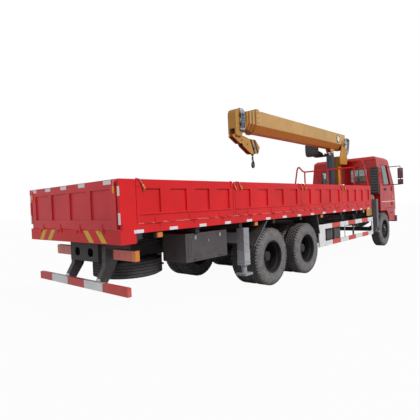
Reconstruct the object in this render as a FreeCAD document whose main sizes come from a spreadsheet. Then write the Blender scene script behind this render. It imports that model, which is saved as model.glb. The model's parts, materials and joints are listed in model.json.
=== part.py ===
import FreeCAD, Part
import Sketcher
import math
import os
import re
import types
from FreeCAD import Placement, Rotation, Vector

# Truck crane: a three-axle lorry with a drop-side bed and a telescopic crane behind the cab.
# Millimetres, +X forward, +Y to the left, +Z up. The origin is on the ground below the middle.

SIZES = {
    # wheels and axles
    "tyre_radius": 530,
    "tyre_width": 280,
    "tread_width": 210,
    "rim_radius": 286,
    "rim_width": 210,
    "rim_wall": 20,
    "rim_web": 24,
    "hub_radius": 130,
    "hub_cap_radius": 95,
    "rear_axle": -2400,
    "tandem_gap": 1350,
    "front_axle": 4250,
    "dual_mid": 930,
    "dual_pitch": 320,
    "front_track_half": 1060,
    "kingpin_half": 800,
    "kingpin_radius": 25,
    "kingpin_eye": 45,
    "axle_tube_radius": 90,
    "differential_radius": 200,
    "beam_height": 130,
    "beam_width": 90,
    "spring_half": 430,
    "spring_width": 80,
    "spring_depth": 55,
    "front_spring_reach": 720,
    "seat_gap": 0.3,
    "run_gap": 5,
    # ladder frame
    "rail_outer": 380,
    "rail_bottom": 800,
    "rail_top": 1060,
    "rail_flange": 80,
    "rail_wall": 10,
    "rail_rear": -5480,
    "rail_front": 5330,
    "cross_width": 90,
    "engine_rear": 3800,
    "engine_front": 5200,
    "engine_half": 280,
    "engine_bottom": 660,
    "engine_top": 1090,
    "shaft_radius": 50,
    "shaft_height": 700,
    # load bed
    "bed_rear": -5700,
    "bed_front": 2886,
    "bed_half": 1250,
    "bed_wall": 45,
    "bearer_top": 1140,
    "bearer_width": 80,
    "cross_top": 1220,
    "cross_pitch": 1040,
    "floor_top": 1270,
    "sill_bottom": 1220,
    "sill_top": 1340,
    "sill_width": 60,
    "gate_bottom": 1350,
    "gate_top": 1890,
    "first_stake": -3520,
    "second_stake": -1290,
    "third_stake": 800,
    "corner_post": 80,
    "gate_hinge_height": 1345,
    "hinge_radius": 12,
    "hinge_strap": 8,
    "post_length": 240,
    "stake_width": 50,
    "panel_gap": 6,
    "recess_bottom": 1470,
    "recess_top": 1775,
    "recess_depth": 22,
    "recess_length": 300,
    "tail_recess_length": 450,
    "tail_rib": 100,
    "apron_bottom": 1097,
    "apron_side": 215,
    "apron_wall": 30,
    "tail_hinge_height": 1275,
    # headboard and its tube frame
    "tube_radius": 24,
    "frame_top": 2470,
    "hoop_top": 2640,
    "hoop_half": 1050,
    "hoop_foot": 1200,
    "rail_half": 820,
    "tube_post": 410,
    # rear end
    "underrun_rear": -5610,
    "underrun_half": 1200,
    "underrun_bottom": 450,
    "underrun_top": 565,
    "underrun_depth": 60,
    "underrun_arm": 455,
    "lamp_face": -5370,
    "lamp_inner": 560,
    "lamp_outer": 1060,
    "lamp_bottom": 835,
    "lamp_top": 985,
    "spare_x": -4800,
    "spare_y": -90,
    "spare_bottom": 505,
    # boxes and tanks between the axles
    "toolbox_rear": -4550,
    "toolbox_front": -3620,
    "toolbox_bottom": 710,
    "toolbox_top": 1130,
    "toolbox_half": 1150,
    "toolbox_inner": 640,
    "guard_half": 1200,
    "guard_bar": 30,
    "guard_height": 110,
    "guard_rear": -420,
    "guard_front": 3140,
    "guard_low": 470,
    "guard_high": 975,
    "tank_rear": 150,
    "tank_inner": 480,
    "tank_outer": 1120,
    "tank_bottom": 520,
    "tank_top": 900,
    "flap_wall": 14,
    "flap_low": 790,
    "flap_inner": 620,
    "flap_outer": 1235,
    # outriggers
    "jack_half": 1150,
    "jack_tube": 75,
    "jack_wall": 12,
    "jack_rod": 48,
    "foot_half": 105,
    "foot_height": 40,
    "rear_jack_x": -3195,
    "rear_jack_top": 1120,
    "rear_jack_bottom": 485,
    "rear_foot": 320,
    "front_jack_top": 1500,
    "front_jack_bottom": 640,
    "front_foot": 490,
    "box_bottom": 1075,
    "box_length": 680,
    "box_behind": 390,
    "bracket_wing": 40,
    "box_top": 1430,
    "box_half": 1060,
    "box_wall": 20,
    "beam_gap": 6,
    "slide_beam_half": 140,
    "beam_inner_end": 980,
    "bracket_bottom": 1010,
    "bracket_top": 1630,
    # crane
    "slew_x": 3430,
    "ring_radius": 330,
    "ring_bottom": 1620,
    "ring_top": 1680,
    "column_half": 140,
    "cheek_wall": 32,
    "cheek_gap": 6,
    "boom_pivot_x": 3620,
    "boom_pivot_z": 3300,
    "column_drop": 400,
    "boom_rise": 320,
    "boom_drop": 170,
    "shoulder_drop": 10,
    "column_depth": 260,
    "pin_radius": 45,
    "boom_half": 190,
    "boom_keel_half": 90,
    "boom_root": 3800,
    "boom_mouth": -1270,
    "boom_wall": 12,
    "nest_gap": 10,
    "collar_length": 110,
    "collar_rise": 22,
    "collar_step": 90,
    "section_inner_end": 3350,
    "foot_pin_x": 3060,
    "foot_pin_z": 1750,
    "eye_pin_x": 3050,
    "eye_drop": 290,
    "gland_drop": 80,
    "barrel_radius": 117,
    "barrel_bore": 62,
    "ram_radius": 60,
    "eye_radius": 50,
    "eye_half": 55,
    "foot_eye_radius": 45,
    "barrel_start": 110,
    "lug_wall": 25,
    "winch_x": 3740,
    "winch_radius": 110,
    "head_rear": -1900,
    "head_half": 110,
    "head_drop": 130,
    "sheave_rise": 30,
    "hook_drop": 290,
    "hook_length": 400,
    "sheave_x": -1840,
    "hook_pin": 28,
    "hook_half": 65,
    "hook_wall": 14,
    "hook_x": -1180,
    "seat_half_width": 230,
    "seat_y": 520,
    "seat_rear": 2830,
    "seat_front": 3290,
    # cab
    "cab_rear": 4060,
    "cab_front": 5620,
    "cab_bottom": 1120,
    "cab_front_bottom": 975,
    "cab_roof": 2870,
    "cab_half": 1150,
    "cab_roof_half": 1040,
    "cab_belt": 1900,
    "door_head": 170,
    "window_head": 100,
    "window_rise": 60,
    "rear_window_height": 400,
    "cab_wall": 50,
    "crew_seat_inner": 330,
    "crew_seat_outer": 830,
    "seat_cushion": 450,
    "seat_back": 1150,
    "nose_z": 1350,
    "arch_radius": 700,
    "fender_bottom": 755,
    "fender_width": 230,
    "step_rear": 4980,
    "door_bottom": 1180,
    "door_edge": 90,
    "rear_window_inner": 240,
    "rear_window_outer": 760,
    "glass_wall": 6,
    "tilt_z": 1030,
    "bumper_half": 1190,
    "bumper_bottom": 700,
    "bumper_top": 910,
    "mirror_x": 5400,
    "mirror_inner": 1320,
    "mirror_width": 160,
    "mirror_bottom": 2165,
    "mirror_top": 2510,
    "mirror_depth": 60,
    "intake_x": 3990,
    "intake_inner": 900,
    "intake_outer": 1140,
    "intake_bottom": 1650,
    "intake_top": 2500,
}

# Places that follow from the sizes above, kept as formulas in the sheet
FOLLOWING = {
    "tail_half": "bed_half - corner_post",
    "column_top": "boom_pivot_z - column_drop",
    "column_rear": "slew_x - column_depth / 2",
    "column_front": "slew_x + column_depth / 2",
    "boom_top": "boom_pivot_z + boom_rise",
    "boom_bottom": "boom_pivot_z - boom_drop",
    "boom_shoulder": "boom_pivot_z - shoulder_drop",
    "eye_pin_z": "boom_pivot_z - eye_drop",
    "barrel_top": "eye_pin_z - gland_drop",
    "winch_z": "column_top - 70",
    "head_top": "boom_top - 20",
    "head_bottom": "boom_bottom - head_drop",
    "sheave_z": "head_bottom + sheave_rise",
    "hook_z": "sheave_z - hook_drop",
    "hook_low": "hook_z - hook_length",
    "box_rear": "slew_x - box_behind",
    "box_front": "box_rear + box_length",
    "bracket_rear": "box_rear - bracket_wing",
    "bracket_front": "box_front + bracket_wing",
    "front_jack_x": "slew_x + 80",
    "door_top": "cab_roof - door_head",
    "window_top": "door_top - window_head",
    "window_bottom": "cab_belt + window_rise",
    "screen_top": "cab_roof - door_head",
    "screen_base": "cab_belt + 50",
    "rear_window_top": "cab_roof - 400",
    "rear_window_bottom": "rear_window_top - rear_window_height",
    "screen_top_x": "cab_front - 290",
    "screen_base_x": "cab_front - 60",
    "door_front": "cab_front - 380",
    "door_rear": "cab_rear + 320",
    "tilt_x": "cab_front - 120",
    "bumper_front": "cab_front + 100",
    "bumper_rear": "cab_front - 60",
    "mirror_outer": "mirror_inner + mirror_width",
}

doc = FreeCAD.newDocument("truck_crane")
sheet = doc.addObject("Spreadsheet::Sheet", "Sizes")
for row, (word, value) in enumerate([*SIZES.items(), *FOLLOWING.items()], 1):
    sheet.set(f"A{row}", word)
    sheet.set(f"B{row}", str(value) if word in SIZES else "=" + value)
    sheet.setAlias(f"B{row}", word)
doc.recompute()
WORDS = [*SIZES, *FOLLOWING]
real = types.SimpleNamespace(**{word: float(sheet.get(word)) for word in WORDS})

NODES = []
TURNS = {"X": Rotation(Vector(0, 1, 0), 90), "Y": Rotation(Vector(1, 0, 0), -90), "Z": Rotation()}
LETTERS = "XYZ"
WHEEL_SIDES = 20
PIN_SIDES = 8
TUBE_SIDES = 16
SIDES = {"left": 1, "right": -1}


def formula(text):
    """Names each size in a formula as a cell of the sheet."""
    return re.sub(r"[a-z][a-z_]+", lambda word: cell(word.group()), str(text))


def cell(word):
    return "Sizes." + word if word in WORDS else word


def place(piece, *formulas):
    """Ties the place of a piece to formulas for X, Y and Z."""
    for letter, text in zip("xyz", formulas):
        piece.setExpression("Placement.Base." + letter, formula(text))
    return piece


def span(side, inner, outer):
    """A stretch of Y on one side of the middle, lowest first."""
    return (inner, outer) if side == "left" else (f"-({outer})", f"-({inner})")


def at(side, text):
    """A place in Y on one side of the middle."""
    return text if side == "left" else f"-({text})"


def block(x, y, z, name="block"):
    """A box between two formulas along each axis."""
    piece = doc.addObject("Part::Box", name)
    for size, ends in (("Length", x), ("Width", y), ("Height", z)):
        piece.setExpression(size, formula(f"({ends[1]}) - ({ends[0]})"))
    return place(piece, x[0], y[0], z[0])


def bar(axis, across, ends, radius, sides=0):
    """A round or many-sided bar along an axis, at two formulas on the other axes in their order."""
    if sides:
        piece = doc.addObject("Part::Prism", "bar")
        piece.Polygon = sides
        piece.setExpression("Circumradius", formula(radius))
    else:
        piece = doc.addObject("Part::Cylinder", "bar")
        piece.setExpression("Radius", formula(radius))
    piece.Placement = Placement(Vector(), TURNS[axis])
    piece.setExpression("Height", formula(f"({ends[1]}) - ({ends[0]})"))
    middle = list(across)
    middle.insert(LETTERS.index(axis), ends[0])
    return place(piece, *middle)


def origin_plane(body, role):
    return [plane for plane in body.Origin.OriginFeatures if plane.Role == role][0]


def draw_loop(sketch, points):
    """Draws a closed outline whose corners are tied to formulas, or a circle (u, v, radius)."""
    first = sketch.GeometryCount
    if isinstance(points, tuple):
        u, v, radius = points
        sketch.addGeometry(Part.Circle(Vector(500, 500, 0), Vector(0, 0, 1), 10), False)
        ties = [("DistanceX", first, 3, u), ("DistanceY", first, 3, v)]
        number = sketch.addConstraint(Sketcher.Constraint("Radius", first, 10))
        sketch.setExpression(f"Constraints[{number}]", formula(radius))
    else:
        count = len(points)
        turn = 2 * math.pi / count
        ring = [Vector(1000 * math.cos(turn * i), 1000 * math.sin(turn * i), 0) for i in range(count)]
        for i in range(count):
            sketch.addGeometry(Part.LineSegment(ring[i], ring[(i + 1) % count]), False)
        for i in range(count):
            after = first + (i + 1) % count
            sketch.addConstraint(Sketcher.Constraint("Coincident", first + i, 2, after, 1))
        ties = []
        for i, (u, v) in enumerate(points):
            ties.append(("DistanceX", first + i, 1, u))
            ties.append(("DistanceY", first + i, 1, v))
    for kind, line, end, text in ties:
        number = sketch.addConstraint(Sketcher.Constraint(kind, -1, 1, line, end, 100.0))
        sketch.setExpression(f"Constraints[{number}]", formula(text))


def new_sketch(body, plane, loops, offset="0"):
    sketch = body.newObject("Sketcher::SketchObject", "outline")
    sketch.AttachmentSupport = (origin_plane(body, plane + "_Plane"), [""])
    sketch.MapMode = "FlatFace"
    sketch.setExpression("AttachmentOffset.Base.z", formula(offset))
    for loop in loops:
        draw_loop(sketch, loop)
    return sketch


def add_pad(body, plane, ends, loops):
    """Pads an outline over a stretch of the axis that its plane faces."""
    near = f"-({ends[1]})" if plane == "XZ" else ends[0]
    sketch = new_sketch(body, plane, loops, near)
    pad = body.newObject("PartDesign::Pad", "pad")
    pad.Profile = sketch
    pad.setExpression("Length", formula(f"({ends[1]}) - ({ends[0]})"))
    return pad


def plate(plane, ends, *loops, name="plate"):
    """A flat piece with its outline and holes drawn on a plane, thick between two formulas."""
    body = doc.addObject("PartDesign::Body", name)
    add_pad(body, plane, ends, loops)
    return body


def turned(plane, points, centre, flip=False, name="turned"):
    """A piece turned about the sketch's upright axis, from an outline of (radius, along)."""
    body = doc.addObject("PartDesign::Body", name)
    sketch = new_sketch(body, plane, [points])
    revolution = body.newObject("PartDesign::Revolution", "revolution")
    revolution.Profile = sketch
    revolution.ReferenceAxis = (sketch, ["V_Axis"])
    revolution.Angle = 360
    if flip:
        body.Placement = Placement(Vector(), Rotation(Vector(0, 0, 1), 180))
    return place(body, *centre)


def fused(*pieces, name="fused"):
    whole = doc.addObject("Part::MultiFuse", name)
    whole.Shapes = list(pieces)
    return whole


def cut(base, *tools, name="cut"):
    piece = doc.addObject("Part::Cut", name)
    piece.Base = base
    piece.Tool = tools[0] if len(tools) == 1 else fused(*tools)
    return piece


def shared(first, second, name="shared"):
    piece = doc.addObject("Part::Common", name)
    piece.Base = first
    piece.Tool = second
    return piece


def skinned(rings, closed=False):
    """A solid with flat faces between rings of corners, closed on itself or with flat ends."""
    count = len(rings[0])
    pairs = list(zip(rings, rings[1:] + rings[:1] if closed else rings[1:]))
    quads = []
    for near, far in pairs:
        for i in range(count):
            after = (i + 1) % count
            quads.append([near[i], near[after], far[after], far[i]])
    if not closed:
        quads += [rings[0], rings[-1]]
    faces = [Part.Face(Part.makePolygon(quad + quad[:1])) for quad in quads]
    solid = Part.Solid(Part.Shell(faces))
    if solid.Volume < 0:
        solid.reverse()
    piece = doc.addObject("Part::Feature", "skinned")
    piece.Shape = solid
    return piece


def wheel_form(axis, points, centre, closed=False):
    """A many-sided turned piece about an axis, from its outline of (radius, along)."""
    rings = []
    for radius, along in points:
        ring = []
        for i in range(WHEEL_SIDES):
            turn = 2 * math.pi * i / WHEEL_SIDES
            ring.append(Vector(radius * math.cos(turn), radius * math.sin(turn), along))
        rings.append([TURNS[axis].multVec(corner) for corner in ring])
    return place(skinned(rings, closed), *centre)


def bent_bar(points, radius):
    """A many-sided bar along straight runs with mitred corners."""
    rings = []
    runs = [(after - before).normalize() for before, after in zip(points, points[1:])]
    side = runs[0].cross(Vector(0.3, 0.5, 0.8)).normalize()
    for i in range(PIN_SIDES):
        spoke = Rotation(runs[0], 360 * i / PIN_SIDES).multVec(side) * radius
        line = [points[0] + spoke]
        for corner, run, after in zip(points[1:], runs, runs[1:] + runs[-1:]):
            mitre = run + after
            reach = (corner - line[-1]).dot(mitre) / run.dot(mitre)
            line.append(line[-1] + run * reach)
        rings.append(line)
    return skinned([list(ring) for ring in zip(*rings)])


def node(label, *pieces):
    """Names a sub-part, made of one piece or of pieces that don't touch."""
    whole = pieces[0]
    if len(pieces) > 1:
        whole = doc.addObject("Part::Compound", "group")
        whole.Links = list(pieces)
    whole.Label = label
    NODES.append(whole)


# Wheels
TYRE_MID = (real.rim_radius + real.tyre_radius) / 2
TYRE = [
    (real.rim_radius, -real.rim_width / 2),
    (TYRE_MID, -real.tyre_width / 2),
    (real.tyre_radius - 25, 12 - real.tyre_width / 2),
    (real.tyre_radius, -real.tread_width / 2),
    (real.tyre_radius, real.tread_width / 2),
    (real.tyre_radius - 25, real.tyre_width / 2 - 12),
    (TYRE_MID, real.tyre_width / 2),
    (real.rim_radius, real.rim_width / 2),
]
RIM_OUT = real.rim_radius - real.seat_gap
RIM_IN = real.rim_radius - real.rim_wall
DUAL_END = (real.dual_pitch + real.rim_width) / 2
WEB = real.rim_web / 2
DUAL_RIM = [
    (real.hub_radius, -100),
    (real.hub_radius, -WEB),
    (RIM_IN, -WEB),
    (RIM_IN, -DUAL_END),
    (RIM_OUT, -DUAL_END),
    (RIM_OUT, DUAL_END),
    (RIM_IN, DUAL_END),
    (RIM_IN, WEB),
    (real.hub_radius, WEB),
    (real.hub_radius, 120),
]
FRONT_RIM = [
    (real.hub_radius, -60),
    (real.hub_radius, 60),
    (RIM_IN, 40),
    (RIM_IN, -real.rim_width / 2),
    (RIM_OUT, -real.rim_width / 2),
    (RIM_OUT, real.rim_width / 2),
    (RIM_IN, real.rim_width / 2),
    (RIM_IN, 40 + real.rim_web),
    (real.hub_radius, 60 + real.rim_web),
    (real.hub_radius, 100),
]
REAR_AXLES = {"first": "rear_axle + tandem_gap", "second": "rear_axle"}
for side, hand in SIDES.items():
    for order, axle in REAR_AXLES.items():
        tyres = [
            wheel_form("Y", TYRE, (axle, at(side, f"dual_mid + {half} * dual_pitch / 2"), "tyre_radius"),
                       closed=True)
            for half in (1, -1)
        ]
        node(f"{order}_tyres_{side}", *tyres)
        disc = wheel_form("Y", [(radius, hand * along) for radius, along in DUAL_RIM],
                          (axle, at(side, "dual_mid"), "tyre_radius"))
        cap = bar("Y", (axle, "tyre_radius"), span(side, "dual_mid + 119", "dual_mid + 190"),
                  "hub_cap_radius")
        node(f"{order}_rims_{side}", fused(disc, cap))
    middle = ("front_axle", at(side, "front_track_half"), "tyre_radius")
    node(f"front_tyre_{side}", wheel_form("Y", TYRE, middle, closed=True))
    disc = wheel_form("Y", [(radius, hand * along) for radius, along in FRONT_RIM], middle)
    cap = bar("Y", ("front_axle", "tyre_radius"), span(side, "front_track_half + 99",
                                                       "front_track_half + 150"),
              "hub_cap_radius")
    node(f"front_rim_{side}", fused(disc, cap))

# Steering knuckles, each a fork round the end of the axle beam
FORK_IN = "kingpin_half + kingpin_eye + run_gap + 2"
BEAM_LOW = "tyre_radius - beam_height / 2"
BEAM_HIGH = "tyre_radius + beam_height / 2"
for side in SIDES:
    width = ("front_axle - 50", "front_axle + 50")
    fork = [
        (at(side, "kingpin_half - kingpin_eye"), BEAM_HIGH + " + seat_gap"),
        (at(side, FORK_IN), BEAM_HIGH + " + seat_gap"),
        (at(side, FORK_IN), BEAM_LOW + " - seat_gap"),
        (at(side, "kingpin_half - kingpin_eye"), BEAM_LOW + " - seat_gap"),
        (at(side, "kingpin_half - kingpin_eye"), BEAM_LOW + " - 40"),
        (at(side, FORK_IN + " + 30"), BEAM_LOW + " - 40"),
        (at(side, FORK_IN + " + 30"), BEAM_HIGH + " + 40"),
        (at(side, "kingpin_half - kingpin_eye"), BEAM_HIGH + " + 40"),
    ]
    spindle = bar("Y", ("front_axle", "tyre_radius"),
                  span(side, FORK_IN + " + 30", "front_track_half - 60 - seat_gap"), "55", TUBE_SIDES)
    pin = bar("Z", ("front_axle", at(side, "kingpin_half")),
              (BEAM_LOW + " - 20", BEAM_HIGH + " + 20"), "kingpin_radius", PIN_SIDES)
    arm = block(("front_axle - 210", "front_axle - 50"),
                span(side, "kingpin_half - 25", "kingpin_half + 25"),
                (BEAM_HIGH + " + 5", BEAM_HIGH + " + 35"))
    node(f"knuckle_{side}", fused(plate("YZ", width, fork), spindle, pin, arm))

# Axles, springs and propeller shaft
beam = fused(
    block(("front_axle - beam_width / 2", "front_axle + beam_width / 2"),
          ("-kingpin_half", "kingpin_half"), (BEAM_LOW, BEAM_HIGH)),
    *[bar("Z", ("front_axle", at(side, "kingpin_half")), (BEAM_LOW, BEAM_HIGH), "kingpin_eye")
      for side in SIDES])
pin_holes = [
    bar("Z", ("front_axle", at(side, "kingpin_half")), (BEAM_LOW + " - 50", BEAM_HIGH + " + 50"),
        "kingpin_radius + seat_gap")
    for side in SIDES
]
axle_pieces = [cut(beam, *pin_holes)]
BULGE = real.differential_radius
DIFFERENTIAL = [
    (real.axle_tube_radius, -BULGE - 60),
    (0.8 * BULGE, -0.55 * BULGE),
    (BULGE, -60),
    (BULGE, 60),
    (0.8 * BULGE, 0.55 * BULGE),
    (real.axle_tube_radius, BULGE + 60),
]
for axle in REAR_AXLES.values():
    half = "dual_mid - 100 - seat_gap"
    tube = bar("Y", (axle, "tyre_radius"), (f"-({half})", half), "axle_tube_radius", TUBE_SIDES)
    housing = wheel_form("Y", DIFFERENTIAL, (axle, "0", "tyre_radius"))
    axle_pieces.append(fused(tube, housing))

spring_pieces = axle_pieces
for side in SIDES:
    width = span(side, "spring_half - spring_width / 2", "spring_half + spring_width / 2")
    low = BEAM_HIGH + " + seat_gap"
    leaf = [
        ("front_axle - front_spring_reach", low + " + 90"),
        ("front_axle - 120", low),
        ("front_axle + 120", low),
        ("front_axle + front_spring_reach", low + " + 90"),
        ("front_axle + front_spring_reach", low + " + 115"),
        ("front_axle + 120", low + " + spring_depth"),
        ("front_axle - 120", low + " + spring_depth"),
        ("front_axle - front_spring_reach", low + " + 115"),
    ]
    spring_pieces.append(plate("XZ", width, leaf))
    for end in ("-", "+"):
        hanger = (f"front_axle {end} front_spring_reach - 30", f"front_axle {end} front_spring_reach + 30")
        hanger_width = span(side, "rail_outer + seat_gap", "spring_half + spring_width / 2")
        spring_pieces.append(block(hanger, hanger_width, (low + " + 115 + seat_gap", "rail_top - 60")))
    tube_top = "tyre_radius + axle_tube_radius + seat_gap"
    bogie = "rear_axle + tandem_gap / 2"
    pack = [
        ("rear_axle - 60", tube_top),
        ("rear_axle + 60", tube_top),
        (bogie + " - 90", tube_top + " + 60"),
        (bogie + " + 90", tube_top + " + 60"),
        ("rear_axle + tandem_gap - 60", tube_top),
        ("rear_axle + tandem_gap + 60", tube_top),
        ("rear_axle + tandem_gap + 60", tube_top + " + 30"),
        (bogie + " + 90", tube_top + " + 150"),
        (bogie + " - 90", tube_top + " + 150"),
        ("rear_axle - 60", tube_top + " + 30"),
    ]
    spring_pieces.append(plate("XZ", width, pack))
    trunnion = [
        (bogie + " - 200", "rail_top - 60"),
        (bogie + " - 90", tube_top + " + 150 + seat_gap"),
        (bogie + " + 90", tube_top + " + 150 + seat_gap"),
        (bogie + " + 200", "rail_top - 60"),
    ]
    out = span(side, "rail_outer + seat_gap", "spring_half + spring_width / 2")
    spring_pieces.append(plate("XZ", out, trunnion))
node("axles_and_springs", *spring_pieces)

# Ladder frame: channel rails, cross members and the rear cross plate
CROSS_INNER = "rail_outer - rail_wall"
CROSS_MIDDLES = ["rail_rear + 1000", "rear_axle + tandem_gap / 2", "0", "1700", "2900", "rail_front - 60"]
members = [
    block((f"{middle} - cross_width / 2", f"{middle} + cross_width / 2"),
          (f"-({CROSS_INNER})", CROSS_INNER),
          ("rail_bottom + 2 * rail_wall", "rail_top - 2 * rail_wall"))
    for middle in CROSS_MIDDLES
]
oval = [
    [(f"{y} - 70", "rail_bottom + 100"), (f"{y} - 40", "rail_bottom + 70"),
     (f"{y} + 40", "rail_bottom + 70"), (f"{y} + 70", "rail_bottom + 100"),
     (f"{y} + 70", "rail_bottom + 160"), (f"{y} + 40", "rail_bottom + 190"),
     (f"{y} - 40", "rail_bottom + 190"), (f"{y} - 70", "rail_bottom + 160")]
    for y in ("180", "-180")
]
rear_plate = [("-rail_outer", "rail_bottom"), ("rail_outer", "rail_bottom"),
              ("rail_outer", "rail_top"), ("-rail_outer", "rail_top")]
members.append(plate("YZ", ("rail_rear - 12", "rail_rear"), rear_plate, *oval))
TILT_Y = "rail_outer + 40"
rails = []
for side in SIDES:
    channel = [
        (at(side, "rail_outer"), "rail_bottom"),
        (at(side, "rail_outer"), "rail_top"),
        (at(side, "rail_outer - rail_flange"), "rail_top"),
        (at(side, "rail_outer - rail_flange"), "rail_top - rail_wall"),
        (at(side, "rail_outer - rail_wall"), "rail_top - rail_wall"),
        (at(side, "rail_outer - rail_wall"), "rail_bottom + rail_wall"),
        (at(side, "rail_outer - rail_flange"), "rail_bottom + rail_wall"),
        (at(side, "rail_outer - rail_flange"), "rail_bottom"),
    ]
    bracket = [("tilt_x - 300", "tilt_z - 100"), ("tilt_x - 300", "tilt_z + 20"),
               ("tilt_x + 30", "tilt_z + 30"),
               ("tilt_x + 30", "tilt_z - 30"), ("tilt_x - 50", "tilt_z - 80")]
    rest = block(("cab_rear + 60", "cab_rear + 140"), span(side, "rail_outer - rail_flange",
                                                           "rail_outer + 150"),
                 ("rail_top", "cab_bottom - seat_gap"))
    rails.append(fused(
        plate("YZ", ("rail_rear", "rail_front"), channel),
        plate("XZ", span(side, "rail_outer", TILT_Y), bracket),
        bar("Y", ("tilt_x", "tilt_z"), span(side, TILT_Y, TILT_Y + " + 75"), "kingpin_radius", PIN_SIDES),
        rest))
node("chassis_frame", *rails, *members)

engine = block(("engine_rear", "engine_front"), ("-engine_half", "engine_half"),
               ("engine_bottom", "engine_top"))
gearbox = block(("engine_rear - 700", "engine_rear"), ("-190", "190"),
                ("rail_bottom - 60", "engine_top - 60"))
mounts = [block((x, x + " + 120"), ("-(rail_outer - rail_wall - seat_gap)",
                                    "rail_outer - rail_wall - seat_gap"),
                ("rail_bottom + 60", "rail_bottom + 110")) for x in ("engine_rear + 200",
                                                                     "engine_front - 320")]
flange = bar("X", ("0", "shaft_height"), ("rear_axle + tandem_gap + 330", "engine_rear - 760"),
             "shaft_radius", TUBE_SIDES)
joint = bar("X", ("0", "shaft_height + 60"), ("engine_rear - 760", "engine_rear - 700"), "120", TUBE_SIDES)
nose = block(("rear_axle + tandem_gap + differential_radius + seat_gap", "rear_axle + tandem_gap + 330"),
             ("-70", "70"), ("tyre_radius - 60", "shaft_height + 60"))
node("engine_and_shaft", fused(engine, gearbox, joint, flange, nose, *mounts))

# Load bed
bed_pieces = [block(("bed_rear + apron_wall", "bed_front - bed_wall"),
                    ("-(bed_half - sill_width)", "bed_half - sill_width"),
                    ("cross_top", "floor_top"))]
for side in SIDES:
    bed_pieces.append(block(("bed_rear + apron_wall", "bed_front - bed_wall"),
                            span(side, "bed_half - sill_width", "bed_half"), ("sill_bottom", "sill_top")))
    bed_pieces.append(block(("rail_rear", "bed_front - bed_wall"),
                            span(side, "rail_outer - bearer_width", "rail_outer"), ("rail_top",
                                                                                    "bearer_top")))
    bed_pieces.append(block(("bed_rear", "bed_rear + post_length"),
                            span(side, "bed_half - bed_wall", "bed_half"),
                            ("sill_top", "gate_top")))
    skirt = [("bed_rear", "apron_bottom"), ("bed_rear + apron_side", "apron_bottom"),
             ("bed_rear + apron_side + 100", "cross_top - 10"), ("bed_rear + apron_side + 100",
                                                                 "sill_bottom"),
             ("bed_rear", "sill_bottom")]
    bed_pieces.append(plate("XZ", span(side, "bed_half - apron_wall", "bed_half"), skirt))
bed_pieces.append(block(("bed_rear", "bed_rear + apron_wall"), ("-bed_half", "bed_half"),
                        ("apron_bottom", "floor_top")))
for i in range(8):
    start = f"rail_rear + 60 + {i} * cross_pitch"
    bed_pieces.append(block((start, start + " + bearer_width"),
                            ("-(bed_half - sill_width)", "bed_half - sill_width"),
                            ("bearer_top", "cross_top")))

# Side gates, four a side: each with its stretch of the bed and a stake behind it
GATE_JOINTS = ["bed_rear + post_length", "first_stake", "second_stake", "third_stake",
               "bed_front - bed_wall"]
STAKE = "stake_width / 2"
HINGE_Y = "bed_half + hinge_radius"
for side in SIDES:
    for joint_x in GATE_JOINTS[1:-1]:
        bed_pieces.append(block((f"{joint_x} - {STAKE}", f"{joint_x} + {STAKE}"),
                                span(side, "bed_half - bed_wall", "bed_half"), ("sill_top",
                                                                                "gate_top - 30")))
for side in SIDES:
    for number in range(4):
        near = GATE_JOINTS[number] + (f" + {STAKE} + panel_gap" if number else " + panel_gap")
        far = GATE_JOINTS[number + 1] + (f" - {STAKE} - panel_gap" if number < 3 else " - panel_gap")
        body = plate("XZ", span(side, "bed_half - bed_wall", "bed_half - recess_depth"),
                     [(near, "gate_bottom"), (far, "gate_bottom"), (far, "gate_top"), (near, "gate_top")])
        rim_loop = [(near, "gate_bottom"), (far, "gate_bottom"), (far, "gate_top"), (near, "gate_top")]
        holes = []
        for i in range(4):
            middle = f"({near}) + (({far}) - ({near})) * {2 * i + 1} / 8"
            left = f"{middle} - recess_length / 2"
            right = f"{middle} + recess_length / 2"
            holes.append([(left, "recess_bottom"), (right, "recess_bottom"),
                          (right, "recess_top"), (left, "recess_top")])
        add_pad(body, "XZ", span(side, "bed_half - recess_depth", "bed_half"), [rim_loop, *holes])
        gate = [body]
        for i in range(3):
            middle = f"({near}) + (({far}) - ({near})) * {2 * i + 1} / 6"
            gate.append(bar("X", (at(side, HINGE_Y), "gate_hinge_height"),
                            (f"{middle} - 40",
                             f"{middle} + 40"), "hinge_radius", 0 if i == 1 else PIN_SIDES))
            gate.append(block((f"{middle} - 40", f"{middle} + 40"),
                              span(side, "bed_half", "bed_half + hinge_strap"),
                              ("gate_hinge_height", "gate_bottom + 70")))
            ends = (f"{middle} + 40 + seat_gap", f"{middle} + 80")
            bed_pieces.append(bar("X", (at(side, HINGE_Y), "gate_hinge_height"), ends, "hinge_radius",
                                  PIN_SIDES))
            bed_pieces.append(block(ends, span(side, "bed_half", "bed_half + hinge_strap"),
                                    ("sill_top - 50", "gate_hinge_height")))
        node(f"gate_{side}_{number + 1}", fused(*gate))

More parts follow.
